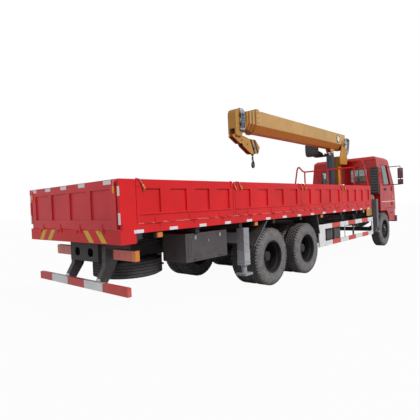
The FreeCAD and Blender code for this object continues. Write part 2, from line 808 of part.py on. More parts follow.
# Tailgate
HINGE_X = "bed_rear - hinge_radius"
tail = plate("YZ", ("bed_rear + recess_depth", "bed_rear + bed_wall"),
             [("-tail_half", "floor_top + 10"), ("tail_half", "floor_top + 10"),
              ("tail_half", "gate_top"), ("-tail_half", "gate_top")])
holes = []
for i in range(4):
    middle = f"(tail_recess_length + tail_rib) * ({i} - 1.5)"
    low = f"{middle} - tail_recess_length / 2"
    high = f"{middle} + tail_recess_length / 2"
    holes.append([(low, "recess_bottom - 70"), (high, "recess_bottom - 70"), (high, "recess_top"),
                  (low, "recess_top")])
add_pad(tail, "YZ", ("bed_rear", "bed_rear + recess_depth"),
        [[("-tail_half", "floor_top + 10"), ("tail_half", "floor_top + 10"),
          ("tail_half", "gate_top"), ("-tail_half", "gate_top")], *holes])
tail_pieces = [tail]
for i in range(4):
    middle = f"(tail_recess_length + tail_rib) * ({i} - 1.5)"
    tail_pieces.append(bar("Y", (HINGE_X, "tail_hinge_height"), (f"{middle} - 40", f"{middle} + 40"),
                           "hinge_radius",
                           0 if i == 1 else PIN_SIDES))
    tail_pieces.append(block(("bed_rear - hinge_strap", "bed_rear"), (f"{middle} - 40", f"{middle} + 40"),
                             ("tail_hinge_height", "tail_hinge_height + 70")))
    for ends in ((f"{middle} - 70", f"{middle} - 40 - seat_gap"),
                 (f"{middle} + 40 + seat_gap", f"{middle} + 70")):
        bed_pieces.append(bar("Y", (HINGE_X, "tail_hinge_height"), ends, "hinge_radius", PIN_SIDES))
        bed_pieces.append(block(("bed_rear - hinge_strap", "bed_rear"), ends,
                                ("tail_hinge_height - 55", "tail_hinge_height")))
node("tailgate", fused(*tail_pieces))
node("bed", fused(*bed_pieces))

# Headboard with its tube frame
board = block(("bed_front - bed_wall", "bed_front"), ("-bed_half", "bed_half"), ("sill_bottom", "gate_top"))
tube_x = real.bed_front - real.tube_radius
top = real.gate_top
board_pieces = [board]
half_loop = [(real.hoop_foot, top - 60), (real.hoop_half + 22, real.hoop_top - 90),
             (real.hoop_half - 10, real.hoop_top - 15),
             (real.hoop_half - 60, real.hoop_top), (real.rail_half + 40, real.frame_top + 22),
             (real.rail_half - 30, real.frame_top)]
cross_tube = [Vector(tube_x, y, z) for y, z in half_loop]
cross_tube += [Vector(tube_x, -y, z) for y, z in reversed(half_loop)]
board_pieces.append(bent_bar(cross_tube, real.tube_radius))
for y in ("rail_half - 20", "-(rail_half - 20)", "tube_post", "-tube_post", "0"):
    board_pieces.append(bar("Z", ("bed_front - tube_radius", y), ("gate_top - 60", "frame_top"),
                            "tube_radius", PIN_SIDES))
node("headboard", fused(*board_pieces))

# Guards: rear underrun bar and side guards
guard_pieces = [block(("underrun_rear", "underrun_rear + underrun_depth"),
                      ("-underrun_half", "underrun_half"),
                      ("underrun_bottom", "underrun_top"))]
for side in SIDES:
    arm = [("underrun_rear + underrun_depth", "underrun_bottom + 10"),
           ("underrun_rear + 150", "underrun_bottom + 10"),
           ("rail_rear + 190", "rail_bottom - 100"), ("rail_rear + 230", "rail_bottom"),
           ("rail_rear + 470", "rail_bottom + 60"),
           ("rail_rear + 470", "rail_top - 20"), ("rail_rear + 40", "rail_top - 20"),
           ("rail_rear + 40", "rail_bottom - 60"), ("underrun_rear + underrun_depth", "underrun_top - 10")]
    guard_pieces.append(plate("XZ", span(side, "rail_outer + seat_gap", "underrun_arm + 20"), arm))
side_pieces = [fused(*guard_pieces)]
for side in SIDES:
    width = span(side, "guard_half - guard_bar", "guard_half")
    rows = [block(("guard_rear", "guard_front"), width, ends) for ends in
            (("guard_low", "guard_low + guard_height"), ("guard_high - guard_height", "guard_high"))]
    rows += [block((f"{x}", f"{x} + {wide}"), width, ("guard_low", "guard_high"))
             for x, wide in (("guard_rear", 320), ("guard_front - 70", 70))]
    for x in ("guard_rear + 900", "guard_rear + 2100"):
        rows.append(block((x, x + " + 60"), span(side, "rail_outer + seat_gap", "guard_half - guard_bar"),
                          ("guard_high - 60", "guard_high")))
        rows.append(block((x, x + " + 60"), span(side, "guard_half - 2 * guard_bar",
                                                 "guard_half - guard_bar"),
                          ("guard_low", "guard_high")))
    side_pieces.append(fused(*rows))
node("guards", *side_pieces)

# Tanks and boxes hung from the rails
tank_pieces = []
for side, length in (("left", 1300), ("right", 800)):
    body = plate("YZ", ("tank_rear", f"tank_rear + {length}"),
                 [(at(side, "tank_inner + 60"), "tank_bottom"),
                  (at(side, "tank_outer - 60"), "tank_bottom"),
                  (at(side, "tank_outer"), "tank_bottom + 60"), (at(side, "tank_outer"), "tank_top - 60"),
                  (at(side, "tank_outer - 60"), "tank_top"), (at(side, "tank_inner + 60"), "tank_top"),
                  (at(side, "tank_inner"), "tank_top - 60"), (at(side, "tank_inner"), "tank_bottom + 60")])
    arms = [block((f"tank_rear + {x}", f"tank_rear + {x} + 60"),
                  span(side, "rail_outer + seat_gap", "tank_inner"),
                  ("tank_bottom + 80", "tank_top - 60")) for x in (120, length - 180)]
    tank_pieces.append(fused(body, *arms))
box = fused(
    block(("toolbox_rear", "toolbox_front"), ("-toolbox_half", "-toolbox_inner"),
          ("toolbox_bottom", "toolbox_top")),
    block(("toolbox_rear + 200", "toolbox_rear + 280"), ("-toolbox_inner", "-(rail_outer + seat_gap)"),
          ("rail_bottom + 60", "rail_top - 60")),
    block(("toolbox_front - 280", "toolbox_front - 200"), ("-toolbox_inner", "-(rail_outer + seat_gap)"),
          ("rail_bottom + 60", "rail_top - 60")))
node("tanks_and_toolbox", box, *tank_pieces)

# Spare wheel laid flat below the rear of the frame
spare = wheel_form("Z", TYRE, ("spare_x", "spare_y", "spare_bottom + tyre_width / 2"), closed=True)
carrier = fused(
    bar("Z", ("spare_x", "spare_y"), ("spare_bottom + 100", "spare_bottom + 180"),
        "rim_radius - seat_gap", WHEEL_SIDES),
    block(("spare_x - 40", "spare_x + 40"), ("spare_y - 40", "spare_y + 40"),
          ("spare_bottom + 180", "rail_top - 20")),
    block(("spare_x - 40", "spare_x + 40"), ("-rail_outer + rail_wall + seat_gap",
                                             "rail_outer - rail_wall - seat_gap"),
          ("rail_bottom + 60", "rail_bottom + 120")))
node("spare_tyre", spare)
node("spare_carrier", carrier)

# Mud flaps
flap_pieces = []
for side in SIDES:
    for top_x, low_x in (("rear_axle - 130", "rear_axle - 560"),
                         ("rear_axle + tandem_gap + 500", "rear_axle + tandem_gap + 610")):
        flap = [(top_x, "cross_top - seat_gap"), (low_x, "flap_low"), (low_x + " - flap_wall", "flap_low"),
                (top_x + " - flap_wall", "cross_top - seat_gap")]
        flap_pieces.append(plate("XZ", span(side, "flap_inner", "flap_outer"), flap))
node("mud_flaps", *flap_pieces)

# Lamps: rear clusters and headlamps in the bumper
lamp_pieces = []
for side in SIDES:
    lamp_pieces.append(fused(
        block(("lamp_face", "lamp_face + 70"), span(side, "lamp_inner", "lamp_outer"),
              ("lamp_bottom", "lamp_top")),
        block(("lamp_face + 70", "lamp_face + 110"), span(side, "underrun_arm + 20 + seat_gap",
                                                          "lamp_outer - 100"),
              ("lamp_bottom + 40", "lamp_top - 40"))))
bumper_shape = [("bumper_rear", "-bumper_half"), ("bumper_front - 70", "-bumper_half"),
                ("bumper_front", "-(bumper_half - 180)"), ("bumper_front", "bumper_half - 180"),
                ("bumper_front - 70", "bumper_half"), ("bumper_rear", "bumper_half")]
bumper = plate("XY", ("bumper_bottom", "bumper_top"), bumper_shape)
bumper_arms = [block(("rail_front + seat_gap", "bumper_rear"),
                     span(side, "rail_outer - rail_flange", "rail_outer - 5"),
                     ("bumper_bottom + 20", "rail_bottom + 40")) for side in SIDES]
sockets = [block(("bumper_front - 90", "bumper_front + 10"),
                 span(side, "bumper_half - 560", "bumper_half - 260"),
                 ("bumper_bottom + 40", "bumper_top - 40")) for side in SIDES]
node("front_bumper", cut(fused(bumper, *bumper_arms), *sockets))
node("lamps", *lamp_pieces, *[block(("bumper_front - 90 + seat_gap", "bumper_front - 10"),
                           span(side, "bumper_half - 560 + seat_gap", "bumper_half - 260 - seat_gap"),
                           ("bumper_bottom + 40 + seat_gap",
                            "bumper_top - 40 - seat_gap")) for side in SIDES])

# Rear outriggers: fixed legs with a sliding jack
leg_pieces = []


def jack_leg(x, side, low, high):
    """A square leg tube with a round bore, open below."""
    outer = block((f"{x} - jack_tube", f"{x} + jack_tube"),
                  span(side, "jack_half - jack_tube", "jack_half + jack_tube"), (low, high))
    bore = bar("Z", (x, at(side, "jack_half")), (f"({low}) - 1", f"({high}) - jack_wall"),
               "jack_rod + seat_gap")
    return cut(outer, bore)


def jack(x, side, foot, high):
    """A jack rod with its foot plate."""
    return fused(
        bar("Z", (x, at(side, "jack_half")), (f"{foot} + foot_height", f"{high} - jack_wall - run_gap"),
            "jack_rod"),
        block((f"{x} - foot_half", f"{x} + foot_half"), span(side, "jack_half - foot_half",
                                                             "jack_half + foot_half"),
              (foot, f"{foot} + foot_height")))


for side in SIDES:
    arm = block(("rear_jack_x - 60", "rear_jack_x + 60"), span(side, "rail_outer + seat_gap",
                                                               "jack_half - jack_tube"),
                ("rail_bottom + 60", "rail_top - 20"))
    leg_pieces.append(fused(jack_leg("rear_jack_x", side, "rear_jack_bottom", "rear_jack_top"), arm))
    node(f"jack_rear_{side}", jack("rear_jack_x", side, "rear_foot", "rear_jack_top"))
node("rear_outrigger_legs", *leg_pieces)

# Front outriggers: a cross box with two sliding beams, side by side
MID_X = "(box_rear + box_front) / 2"
beams = {"right": ("box_rear + box_wall + beam_gap", f"{MID_X} - box_wall / 2 - beam_gap"),
         "left": (f"{MID_X} + box_wall / 2 + beam_gap", "box_front - box_wall - beam_gap")}
BEAM_Z = ("box_bottom + box_wall + beam_gap", "box_top - box_wall - beam_gap")
cells = [[(low + " - beam_gap", BEAM_Z[0] + " - beam_gap"), (high + " + beam_gap",
                                                             BEAM_Z[0] + " - beam_gap"),
          (high + " + beam_gap", BEAM_Z[1] + " + beam_gap"), (low + " - beam_gap",
                                                              BEAM_Z[1] + " + beam_gap")]
         for low, high in beams.values()]
housing = plate("XZ", ("-box_half", "box_half"),
                [("box_rear", "box_bottom"), ("box_front", "box_bottom"), ("box_front", "box_top"),
                 ("box_rear", "box_top")],
                *cells)
pedestal = plate("XZ", ("-ring_radius", "ring_radius"),
                 [("box_rear + 20", "box_top"), ("box_front - 10", "box_top"),
                  ("box_front - 10", "box_top + 90"),
                  ("slew_x + ring_radius - 60", "ring_bottom"), ("slew_x - ring_radius + 30",
                                                                 "ring_bottom"),
                  ("box_rear + 20", "box_top + 90")])
feet = [block(("box_rear + 60", "box_front - 60"), span(side, "rail_outer - rail_flange", "rail_outer"),
              ("rail_top + seat_gap", "box_bottom")) for side in SIDES]
pads = []
for side, (low, high) in beams.items():
    for end in SIDES:
        pads.append(block((low, high), span(end, "box_half - 90", "box_half"),
                          ("box_bottom + box_wall", "box_bottom + box_wall + beam_gap - seat_gap")))
node("crane_base", fused(housing, *pads, pedestal, bar("Z", ("slew_x", "0"),
                                                       ("ring_bottom",
                                                        "ring_top - 30"), "ring_radius"), *feet))
for side in SIDES:
    low, high = beams[side]
    beam = block((low, high), span(side, "-beam_inner_end", "jack_half - jack_tube"), BEAM_Z)
    ends = span(side, "box_half + run_gap", "jack_half - jack_tube")
    bracket = plate("XZ", span(side, "box_half + run_gap", "box_half + run_gap + 16"),
                    [("bracket_rear", "bracket_bottom"), ("bracket_front", "bracket_bottom"),
                     ("bracket_front", "bracket_top - 200"), ("front_jack_x + 110", "bracket_top"),
                     ("front_jack_x - 110", "bracket_top"), ("bracket_rear", "bracket_top - 200")])
    leg = jack_leg("front_jack_x", side, "front_jack_bottom", "front_jack_top")
    clear = bar("Z", ("front_jack_x", at(side, "jack_half")),
                ("front_jack_bottom", "front_jack_top - jack_wall"),
                "jack_rod + seat_gap")
    node(f"outrigger_{side}", cut(fused(beam, bracket, leg), clear))
    node(f"jack_front_{side}", jack("front_jack_x", side, "front_foot", "front_jack_top"))

# Crane column with its winch
turntable = bar("Z", ("slew_x", "0"), ("ring_top - 30 + seat_gap", "ring_top + 20"), "ring_radius")
column = block(("column_rear", "column_front"), ("-column_half", "column_half"),
               ("ring_top + 20", "column_top"))
CHEEK_IN = "boom_half + cheek_gap"
cheek = [("column_rear - 20", "column_top - 260"), ("winch_x + 60", "winch_z - 170"),
         ("winch_x + 140", "winch_z"),
         ("winch_x + 60", "winch_z + 150"), ("boom_pivot_x + 130", "boom_pivot_z"),
         ("boom_pivot_x + 60", "boom_pivot_z + 120"), ("boom_pivot_x - 60", "boom_pivot_z + 120"),
         ("column_rear - 20", "column_top - 60")]
pin_hole = ("boom_pivot_x", "boom_pivot_z", "pin_radius + seat_gap")
cheeks = [plate("XZ", span(side, CHEEK_IN, CHEEK_IN + " + cheek_wall"), cheek, pin_hole) for side in SIDES]
web = block(("column_rear", "column_front"), (f"-({CHEEK_IN})", CHEEK_IN),
            ("column_top - 240", "column_top"))
foot_lugs = [plate("XZ", span(side, "eye_half + seat_gap", "eye_half + lug_wall"),
                   [("column_rear", "ring_top + 20"), ("column_rear", "foot_pin_z + 130"),
                    ("foot_pin_x", "foot_pin_z + 60"), ("foot_pin_x - 60", "foot_pin_z"),
                    ("foot_pin_x", "ring_top + 21")]) for side in SIDES]
drum = bar("Y", ("winch_x", "winch_z"), (f"-({CHEEK_IN})", CHEEK_IN), "winch_radius", TUBE_SIDES)
node("crane_column", fused(turntable, column, *cheeks, web, *foot_lugs, drum))

# Lift cylinder
lean = math.degrees(math.atan2(real.eye_pin_x - real.foot_pin_x, real.eye_pin_z - real.foot_pin_z))
barrel = fused(
    turned("XZ", [("barrel_bore", "barrel_start + 40"), ("barrel_radius", "barrel_start + 40"),
                  ("barrel_radius", "barrel_top - foot_pin_z"),
                  ("barrel_bore", "barrel_top - foot_pin_z")], ("0", "0", "0")),
    bar("Z", ("0", "0"), ("barrel_start", "barrel_start + 40"), "barrel_radius"),
    bar("Z", ("0", "0"), ("0", "barrel_start"), "foot_eye_radius"),
    bar("Y", ("0", "0"), ("-eye_half", "eye_half"), "foot_eye_radius"))
barrel.Placement = Placement(Vector(), Rotation(Vector(0, 1, 0), lean))
place(barrel, "foot_pin_x", "0", "foot_pin_z")
node("lift_barrel", barrel)
REACH = math.hypot(real.eye_pin_x - real.foot_pin_x, real.eye_pin_z - real.foot_pin_z)
ram = fused(
    bar("Z", ("0", "0"), ("barrel_start + 60", f"{REACH} - 90"), "ram_radius"),
    bar("Z", ("0", "0"), (f"{REACH} - 90", f"{REACH} - 20"), "eye_radius - 8"),
    bar("Y", ("0", f"{REACH}"), ("-eye_half", "eye_half"), "eye_radius"))
ram.Placement = Placement(Vector(), Rotation(Vector(0, 1, 0), lean))
place(ram, "foot_pin_x", "0", "foot_pin_z")
node("lift_ram", ram)

# Boom: four nested six-sided tubes, each with a collar at its mouth


def section(inset, deep=0):
    """The six-sided outline of a boom section, smaller by inset all round."""
    side = f"(boom_half - {inset} - {deep})"
    top = f"(boom_top - {inset} - {deep})"
    shoulder = f"(boom_shoulder + ({inset} + {deep}) * 0.5)"
    bottom = f"(boom_bottom + {inset} + {deep})"
    keel = f"(boom_keel_half - ({inset} + {deep}) * 0.4)"
    return [(f"-{side}", top), (side, top), (side, shoulder), (keel, bottom), (f"-{keel}", bottom),
            (f"-{side}", shoulder)]


STEP = "(boom_wall + nest_gap)"
SECTIONS = ["boom_base", "boom_second", "boom_third", "boom_tip"]
for number, label in enumerate(SECTIONS):
    inset = f"{number} * {STEP}"
    mouth = f"boom_mouth - {number} * collar_step"
    root = "boom_root" if number == 0 else f"section_inner_end - {number} * 60"
    tube = plate("YZ", (mouth, root), section(inset), section(inset, "boom_wall"))
    collar = plate("YZ", (mouth, mouth + " + collar_length" if number == 0 else mouth + " + 60"),
                   section(f"({inset} - collar_rise)") if number == 0 else section(f"({inset} - nest_gap + seat_gap)"),
                   section(inset, "boom_wall"))
    if number < 3:
        guide = plate("YZ", (mouth, mouth + " + 50"), section(inset, "boom_wall / 2"),
                      section(inset, f"({STEP} - seat_gap)"))
    pieces = [tube, collar]
    if number < 3:
        pieces.append(guide)
    if number == 0:
        pieces.append(block(("boom_root - 30", "boom_root"), ("-boom_half", "boom_half"),
                            ("boom_shoulder", "boom_top")))
        for side in SIDES:
            pieces.append(plate("XZ", span(side, "eye_half + seat_gap", "eye_half + lug_wall"),
                                [("eye_pin_x - 160", "boom_bottom + 5"),
                                 ("eye_pin_x - 60", "eye_pin_z - 30"),
                                 ("eye_pin_x + 60", "eye_pin_z - 30"), ("eye_pin_x + 160",
                                                                        "boom_bottom + 5")]))
            pieces.append(bar("Y", ("boom_pivot_x", "boom_pivot_z"),
                              span(side, "boom_half - boom_wall / 2",
                                   CHEEK_IN + " + cheek_wall"), "pin_radius"))
    if number == 3:
        head = plate("XZ", ("-head_half", "head_half"),
                     [("head_rear + 120", "head_top"), ("head_rear + 40", "head_top - 30"),
                      ("head_rear", "head_top - 110"),
                      ("head_rear", "sheave_z + 20"), ("head_rear + 20",
                                                       "head_bottom"), ("sheave_x + 120", "head_bottom"),
                      (mouth, "boom_bottom + 70"), (mouth, "boom_top - 90"), (f"{mouth} - 60", "head_top")])
        slot = block(("head_rear - 10", "sheave_x + 190"), ("-hook_half - run_gap", "hook_half + run_gap"),
                     ("head_bottom - 10", "sheave_z + 130"))
        pieces.append(cut(head, slot))
        pieces.append(bar("Y", ("sheave_x", "sheave_z"), ("-hook_half - 20", "hook_half + 20"),
                          "hook_pin", TUBE_SIDES))
    node(label, fused(*pieces))

# Hook block, swung back under the boom, with its hook
cheek_outline = [
    ("sheave_x - 130", "sheave_z - 50"), ("sheave_x - 50", "sheave_z + 25"), ("sheave_x", "sheave_z + 50"),
    ("sheave_x + 60", "sheave_z + 30"),
    ("hook_x - 180", "hook_z + 240"), ("hook_x + 40", "hook_z + 240"), ("hook_x + 210", "hook_z + 80"),
    ("hook_x + 130", "hook_z - 70"), ("hook_x - 130", "hook_z - 90"), ("hook_x - 420", "hook_z + 60"),
    ("hook_x - 460", "hook_z + 120"), ("hook_x - 540", "hook_z + 110"),
]
hook_pieces = [plate("XZ", span(side, "hook_half - hook_wall", "hook_half"),
                     cheek_outline) for side in SIDES]
hook_web = [("sheave_x + 60", "sheave_z - 50"), ("sheave_x + 75", "sheave_z - 30"),
            ("hook_x - 180", "hook_z + 225"),
            ("hook_x + 40", "hook_z + 225"), ("hook_x + 40", "hook_z + 205"), ("hook_x - 190",
                                                                               "hook_z + 205")]
hook_pieces.append(plate("XZ", ("-hook_half", "hook_half"), hook_web))
hook_pieces.append(bar("Y", ("hook_x", "hook_z + 60"), ("-hook_half", "hook_half"), "110", TUBE_SIDES))
hook_pieces.append(block(("hook_x - 45", "hook_x + 45"), ("-hook_half", "hook_half"),
                         ("hook_z - 80", "hook_z - 20")))
hook_outline = [("hook_x - 24", "hook_z - 30"), ("hook_x + 24", "hook_z - 30"),
                ("hook_x + 24", "hook_low + 175"),
                ("hook_x + 85", "hook_low + 130"), ("hook_x + 100", "hook_low + 75"), ("hook_x + 70",
                                                                                       "hook_low + 20"),
                ("hook_x + 10", "hook_low"), ("hook_x - 60", "hook_low + 22"), ("hook_x - 92",
                                                                                "hook_low + 80"),
                ("hook_x - 85", "hook_low + 125"), ("hook_x - 55", "hook_low + 85"), ("hook_x - 15",
                                                                                      "hook_low + 60"),
                ("hook_x + 35", "hook_low + 65"), ("hook_x + 45", "hook_low + 95"), ("hook_x + 10",
                                                                                     "hook_low + 140"),
                ("hook_x - 24", "hook_low + 175")]
hook_pieces.append(plate("XZ", ("-24", "24"), hook_outline))
pin_bore = bar("Y", ("sheave_x", "sheave_z"), ("-hook_half - 5", "hook_half + 5"), "hook_pin + seat_gap")
node("hook_block", cut(fused(*hook_pieces), pin_bore))

# Operator's high seat on the left of the column
seat = plate("XZ", ("seat_y - seat_half_width", "seat_y + seat_half_width"),
             [("seat_rear", "column_top + 430"), ("seat_rear + 60", "column_top + 430"),
              ("seat_rear + 120", "column_top + 130"),
              ("seat_front", "column_top + 150"), ("seat_front", "column_top + 70"), ("seat_rear + 60",
                                                                                      "column_top + 50")])
stay = block(("seat_rear + 300", "seat_front"), (CHEEK_IN + " + cheek_wall", "seat_y + 40"),
             ("column_top + 40", "column_top + 80"))
stay_up = block(("seat_front - 200", "column_rear + 60"), (CHEEK_IN + " + cheek_wall + seat_gap",
                                                           CHEEK_IN + " + cheek_wall + 40"),
                ("column_top + 40", "column_top + 120"))
node("operator_seat", fused(seat, stay, stay_up))

# Cab: outer and inner forms, then the shell, doors and glass come from their difference


def cab_form(wall):
    """The cab's closed form, smaller by wall all round."""
    side = plate("XZ", (f"-(cab_half - {wall})", f"cab_half - {wall}"), [
        (f"cab_rear + {wall}", f"cab_bottom + {wall}"), (f"cab_rear + {wall}",
                                                         f"cab_roof - 90 - {wall} / 2"),
        (f"cab_rear + 90 + {wall} / 2", f"cab_roof - {wall}"), (f"screen_top_x - 160 - {wall} / 2",
                                                                f"cab_roof - {wall}"),
        (f"screen_top_x - {wall}", f"screen_top + 40 - {wall} / 2"), (f"screen_base_x - {wall}",
                                                                      "screen_base"),
        (f"cab_front - {wall}", "nose_z"), (f"cab_front - {wall}", f"cab_bottom + {wall}")])
    front = plate("YZ", ("cab_rear - 100", "cab_front + 100"), [
        (f"-(cab_half - {wall})", f"cab_bottom - 50 + {wall}"), (f"cab_half - {wall}",
                                                                 f"cab_bottom - 50 + {wall}"),
        (f"cab_half - {wall}", "cab_belt"), (f"cab_roof_half - {wall}", f"cab_roof - 60 - {wall} / 2"),
        (f"cab_roof_half - 80 - {wall} / 2", f"cab_roof - {wall}"),
        (f"-(cab_roof_half - 80 - {wall} / 2)", f"cab_roof - {wall}"),
        (f"-(cab_roof_half - {wall})", f"cab_roof - 60 - {wall} / 2"), (f"-(cab_half - {wall})",
                                                                        "cab_belt")])
    return shared(side, front)


def door_outline(gap):
    return [(f"door_rear + {gap}", f"door_bottom + {gap}"), (f"door_front - {gap}", f"door_bottom + {gap}"),
            (f"door_front - {gap}", f"window_bottom"), (f"door_front - 90 - {gap}", f"door_top - {gap}"),
            (f"door_rear + {gap}", f"door_top - {gap}")]


WINDOW = [("door_rear + door_edge", "window_bottom"), ("door_front - door_edge", "window_bottom"),
          ("door_front - 90 - door_edge + 20", "window_top"), ("door_rear + door_edge", "window_top")]
DOOR_SPAN = ("cab_roof_half - cab_wall - 60", "cab_half + 20")
walls = cut(cab_form("0"), cab_form("cab_wall"))
openings = [plate("XZ", span(side, *DOOR_SPAN), door_outline("0")) for side in SIDES]
screen_hole = plate("YZ", ("screen_top_x - 200", "cab_front + 50"), [
    ("-(cab_half - 110)", "screen_base + 30"), ("cab_half - 110", "screen_base + 30"),
    ("cab_roof_half - 90", "screen_top - 20"), ("-(cab_roof_half - 90)", "screen_top - 20")])
rear_holes = [block(("cab_rear - 50", "cab_rear + 150"), span(side, "rear_window_inner",
                                                              "rear_window_outer"),
                    ("rear_window_bottom", "rear_window_top")) for side in SIDES]
lower_front = plate("XZ", ("-(cab_half - 20)", "cab_half - 20"), [
    ("step_rear", "cab_front_bottom"), ("cab_front", "cab_front_bottom"), ("cab_front",
                                                                           "cab_bottom"), ("step_rear",
                                                                                           "cab_bottom")])
engine_bay = block(("step_rear - 10", "cab_front - cab_wall"), ("-600", "600"),
                   ("cab_front_bottom - 10", "cab_bottom"))
fenders = []
for side in SIDES:
    arch = [(f"front_axle + arch_radius * {math.cos(math.radians(angle)):.4f}",
             f"tyre_radius + 30 + arch_radius * {math.sin(math.radians(angle)):.4f}") for angle in (16,
                                                                                                    28, 41)]
    arch.append(("front_axle + arch_radius * 0.6", "cab_bottom"))
    outline = [("bumper_rear - 10", "cab_bottom"), ("bumper_rear - 10", "fender_bottom"), *arch]
    fenders.append(plate("XZ", span(side, "cab_half - fender_width", "cab_half"), outline))
grille = [block(("cab_front - 120", "cab_front + 20"), ("-620", "620"),
                (f"nose_z - 130 + {row} * 85", f"nose_z - 75 + {row} * 85")) for row in range(5)]
DOOR_HINGE_Y = "cab_half + hinge_radius + 1"
shell_pieces = [cut(walls, *openings, screen_hole, *rear_holes, *grille), cut(lower_front, engine_bay),
                *fenders]
for side in SIDES:
    for z in ("door_bottom + 130", "window_bottom - 160"):
        for low, high in ((f"{z} - 50", f"{z} - seat_gap"), (f"{z} + 50 + seat_gap", f"{z} + 100")):
            shell_pieces.append(bar("Z", ("door_front", at(side, DOOR_HINGE_Y)), (low, high),
                                    "hinge_radius", PIN_SIDES))
            shell_pieces.append(block(("door_front", "door_front + 70"),
                                      span(side, "cab_half", "cab_half + 10"), (low, high)))
    ear = [("tilt_x - 50", "cab_bottom + 5"), ("tilt_x - 50", "tilt_z - 20"),
           ("tilt_x - 20", "tilt_z - 50"),
           ("tilt_x + 20", "tilt_z - 50"), ("tilt_x + 50", "tilt_z - 20"), ("tilt_x + 50",
                                                                            "cab_bottom + 5")]
    shell_pieces.append(plate("XZ", span(side, TILT_Y + " + run_gap", TILT_Y + " + 55"), ear,
                              ("tilt_x", "tilt_z", "kingpin_radius + seat_gap")))
node("cab_shell", fused(*shell_pieces))
for side in SIDES:
    leaf = shared(cut(cab_form("0"), cab_form("cab_wall")), plate("XZ", span(side, *DOOR_SPAN),
                                                                  door_outline("panel_gap")))
    leaf_pieces = [cut(leaf, plate("XZ", span(side, *DOOR_SPAN), WINDOW))]
    for z in ("door_bottom + 130", "window_bottom - 160"):
        leaf_pieces.append(bar("Z", ("door_front", at(side, DOOR_HINGE_Y)), (z, f"{z} + 50"),
                               "hinge_radius"))
        leaf_pieces.append(block(("door_front - 70", "door_front"),
                                 span(side, "cab_half", "cab_half + 10"), (z, f"{z} + 50")))
    node(f"door_{side}", fused(*leaf_pieces))
glass_pieces = [block(("cab_rear + 20", "cab_rear + 20 + glass_wall"),
                      span(side, "rear_window_inner + seat_gap", "rear_window_outer - seat_gap"),
                      ("rear_window_bottom + seat_gap", "rear_window_top - seat_gap")) for side in SIDES]
SLOPE = "(screen_base_x - screen_top_x) / (screen_top + 40 - screen_base)"
screen = plate("XZ", ("-cab_half", "cab_half"), [
    (f"screen_base_x - 20 - 32 * {SLOPE}", "screen_base + 32"),
    (f"screen_base_x - 20 + glass_wall - 32 * {SLOPE}", "screen_base + 32"),
    (f"screen_base_x - 20 + glass_wall - (screen_top - 22 - screen_base) * {SLOPE}", "screen_top - 22"),
    (f"screen_base_x - 20 - (screen_top - 22 - screen_base) * {SLOPE}", "screen_top - 22")])
screen_trim = plate("YZ", ("screen_top_x - 200", "cab_front + 50"), [
    ("-(cab_half - 110 - seat_gap)", "screen_base + 30"), ("cab_half - 110 - seat_gap", "screen_base + 30"),
    ("cab_roof_half - 90 - seat_gap", "screen_top - 20"), ("-(cab_roof_half - 90 - seat_gap)",
                                                           "screen_top - 20")])
node("cab_glass", shared(screen, screen_trim), *glass_pieces)
FLOOR = "cab_bottom + cab_wall + seat_gap"
inside = []
for side in SIDES:
    inside.append(plate("XZ", span(side, "crew_seat_inner", "crew_seat_outer"), [
        ("cab_rear + 150", FLOOR), ("cab_rear + 700", FLOOR), ("cab_rear + 720",
                                                               "cab_bottom + seat_cushion"),
        ("cab_rear + 260", "cab_bottom + seat_cushion"), ("cab_rear + 190", "cab_bottom + seat_back"),
        ("cab_rear + 90", "cab_bottom + seat_back")]))
inside.append(plate("XZ", ("-(cab_half - cab_wall - 10)", "cab_half - cab_wall - 10"), [
    ("cab_front - cab_wall - 220", "cab_bottom + 450"), ("cab_front - cab_wall - 10", "cab_bottom + 300"),
    ("cab_front - cab_wall - 60", "screen_base"), ("cab_front - cab_wall - 280", "screen_base - 60")]))
node("cab_interior", *inside)
mirror_pieces = []
for side in SIDES:
    head = block(("mirror_x - mirror_depth / 2", "mirror_x + mirror_depth / 2"),
                 span(side, "mirror_inner", "mirror_outer"),
                 ("mirror_bottom", "mirror_top"))
    small = block(("mirror_x - mirror_depth / 2", "mirror_x + mirror_depth / 2"),
                  span(side, "mirror_inner", "mirror_outer"),
                  ("mirror_bottom - 205", "mirror_bottom - 30"))
    stem = bar("Z", ("mirror_x", at(side, "(mirror_inner + mirror_outer) / 2")),
               ("mirror_bottom - 205", "mirror_top + 60"), "14", PIN_SIDES)
    arms = [bar("Y", ("mirror_x - 90", z), span(side, "cab_roof_half - 20",
                                                "(mirror_inner + mirror_outer) / 2"), "14", PIN_SIDES)
            for z in ("mirror_top + 60", "mirror_bottom - 205")]
    joins = [bar("X", (at(side, "(mirror_inner + mirror_outer) / 2"), z), ("mirror_x - 90", "mirror_x"),
                 "14", PIN_SIDES)
             for z in ("mirror_top + 60", "mirror_bottom - 205")]
    mirror_pieces.append(cut(fused(head, small, stem, *arms, *joins), cab_form("-seat_gap")))
node("mirrors", *mirror_pieces)

# Air intake behind the cab
duct = block(("intake_x - 60", "intake_x + 40"), ("-intake_outer", "-intake_inner"),
             ("intake_bottom", "intake_top"))
stays = [block(("intake_x + 40", "cab_rear - seat_gap"), ("-(intake_inner + 120)",
                                                          "-(intake_inner + 60)"), (z, z + " + 40"))
         for z in ("intake_bottom + 100", "intake_top - 300")]
node("air_intake", fused(duct, *stays))

doc.recompute()
failed = [piece.Label for piece in doc.Objects if "Invalid" in piece.State or "Error" in piece.State]
for whole in NODES:
    if whole.Shape.isNull() or not whole.Shape.isValid():
        failed.append(whole.Label)
if failed:
    raise RuntimeError("these pieces failed: " + ", ".join(failed))
os.makedirs("parts", exist_ok=True)
for whole in NODES:
    whole.Shape.exportStep(f"parts/{whole.Label}.step")
print(len(NODES), "sub-parts")
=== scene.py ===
import json
import math

import bmesh
import bpy
from mathutils import Matrix, Vector


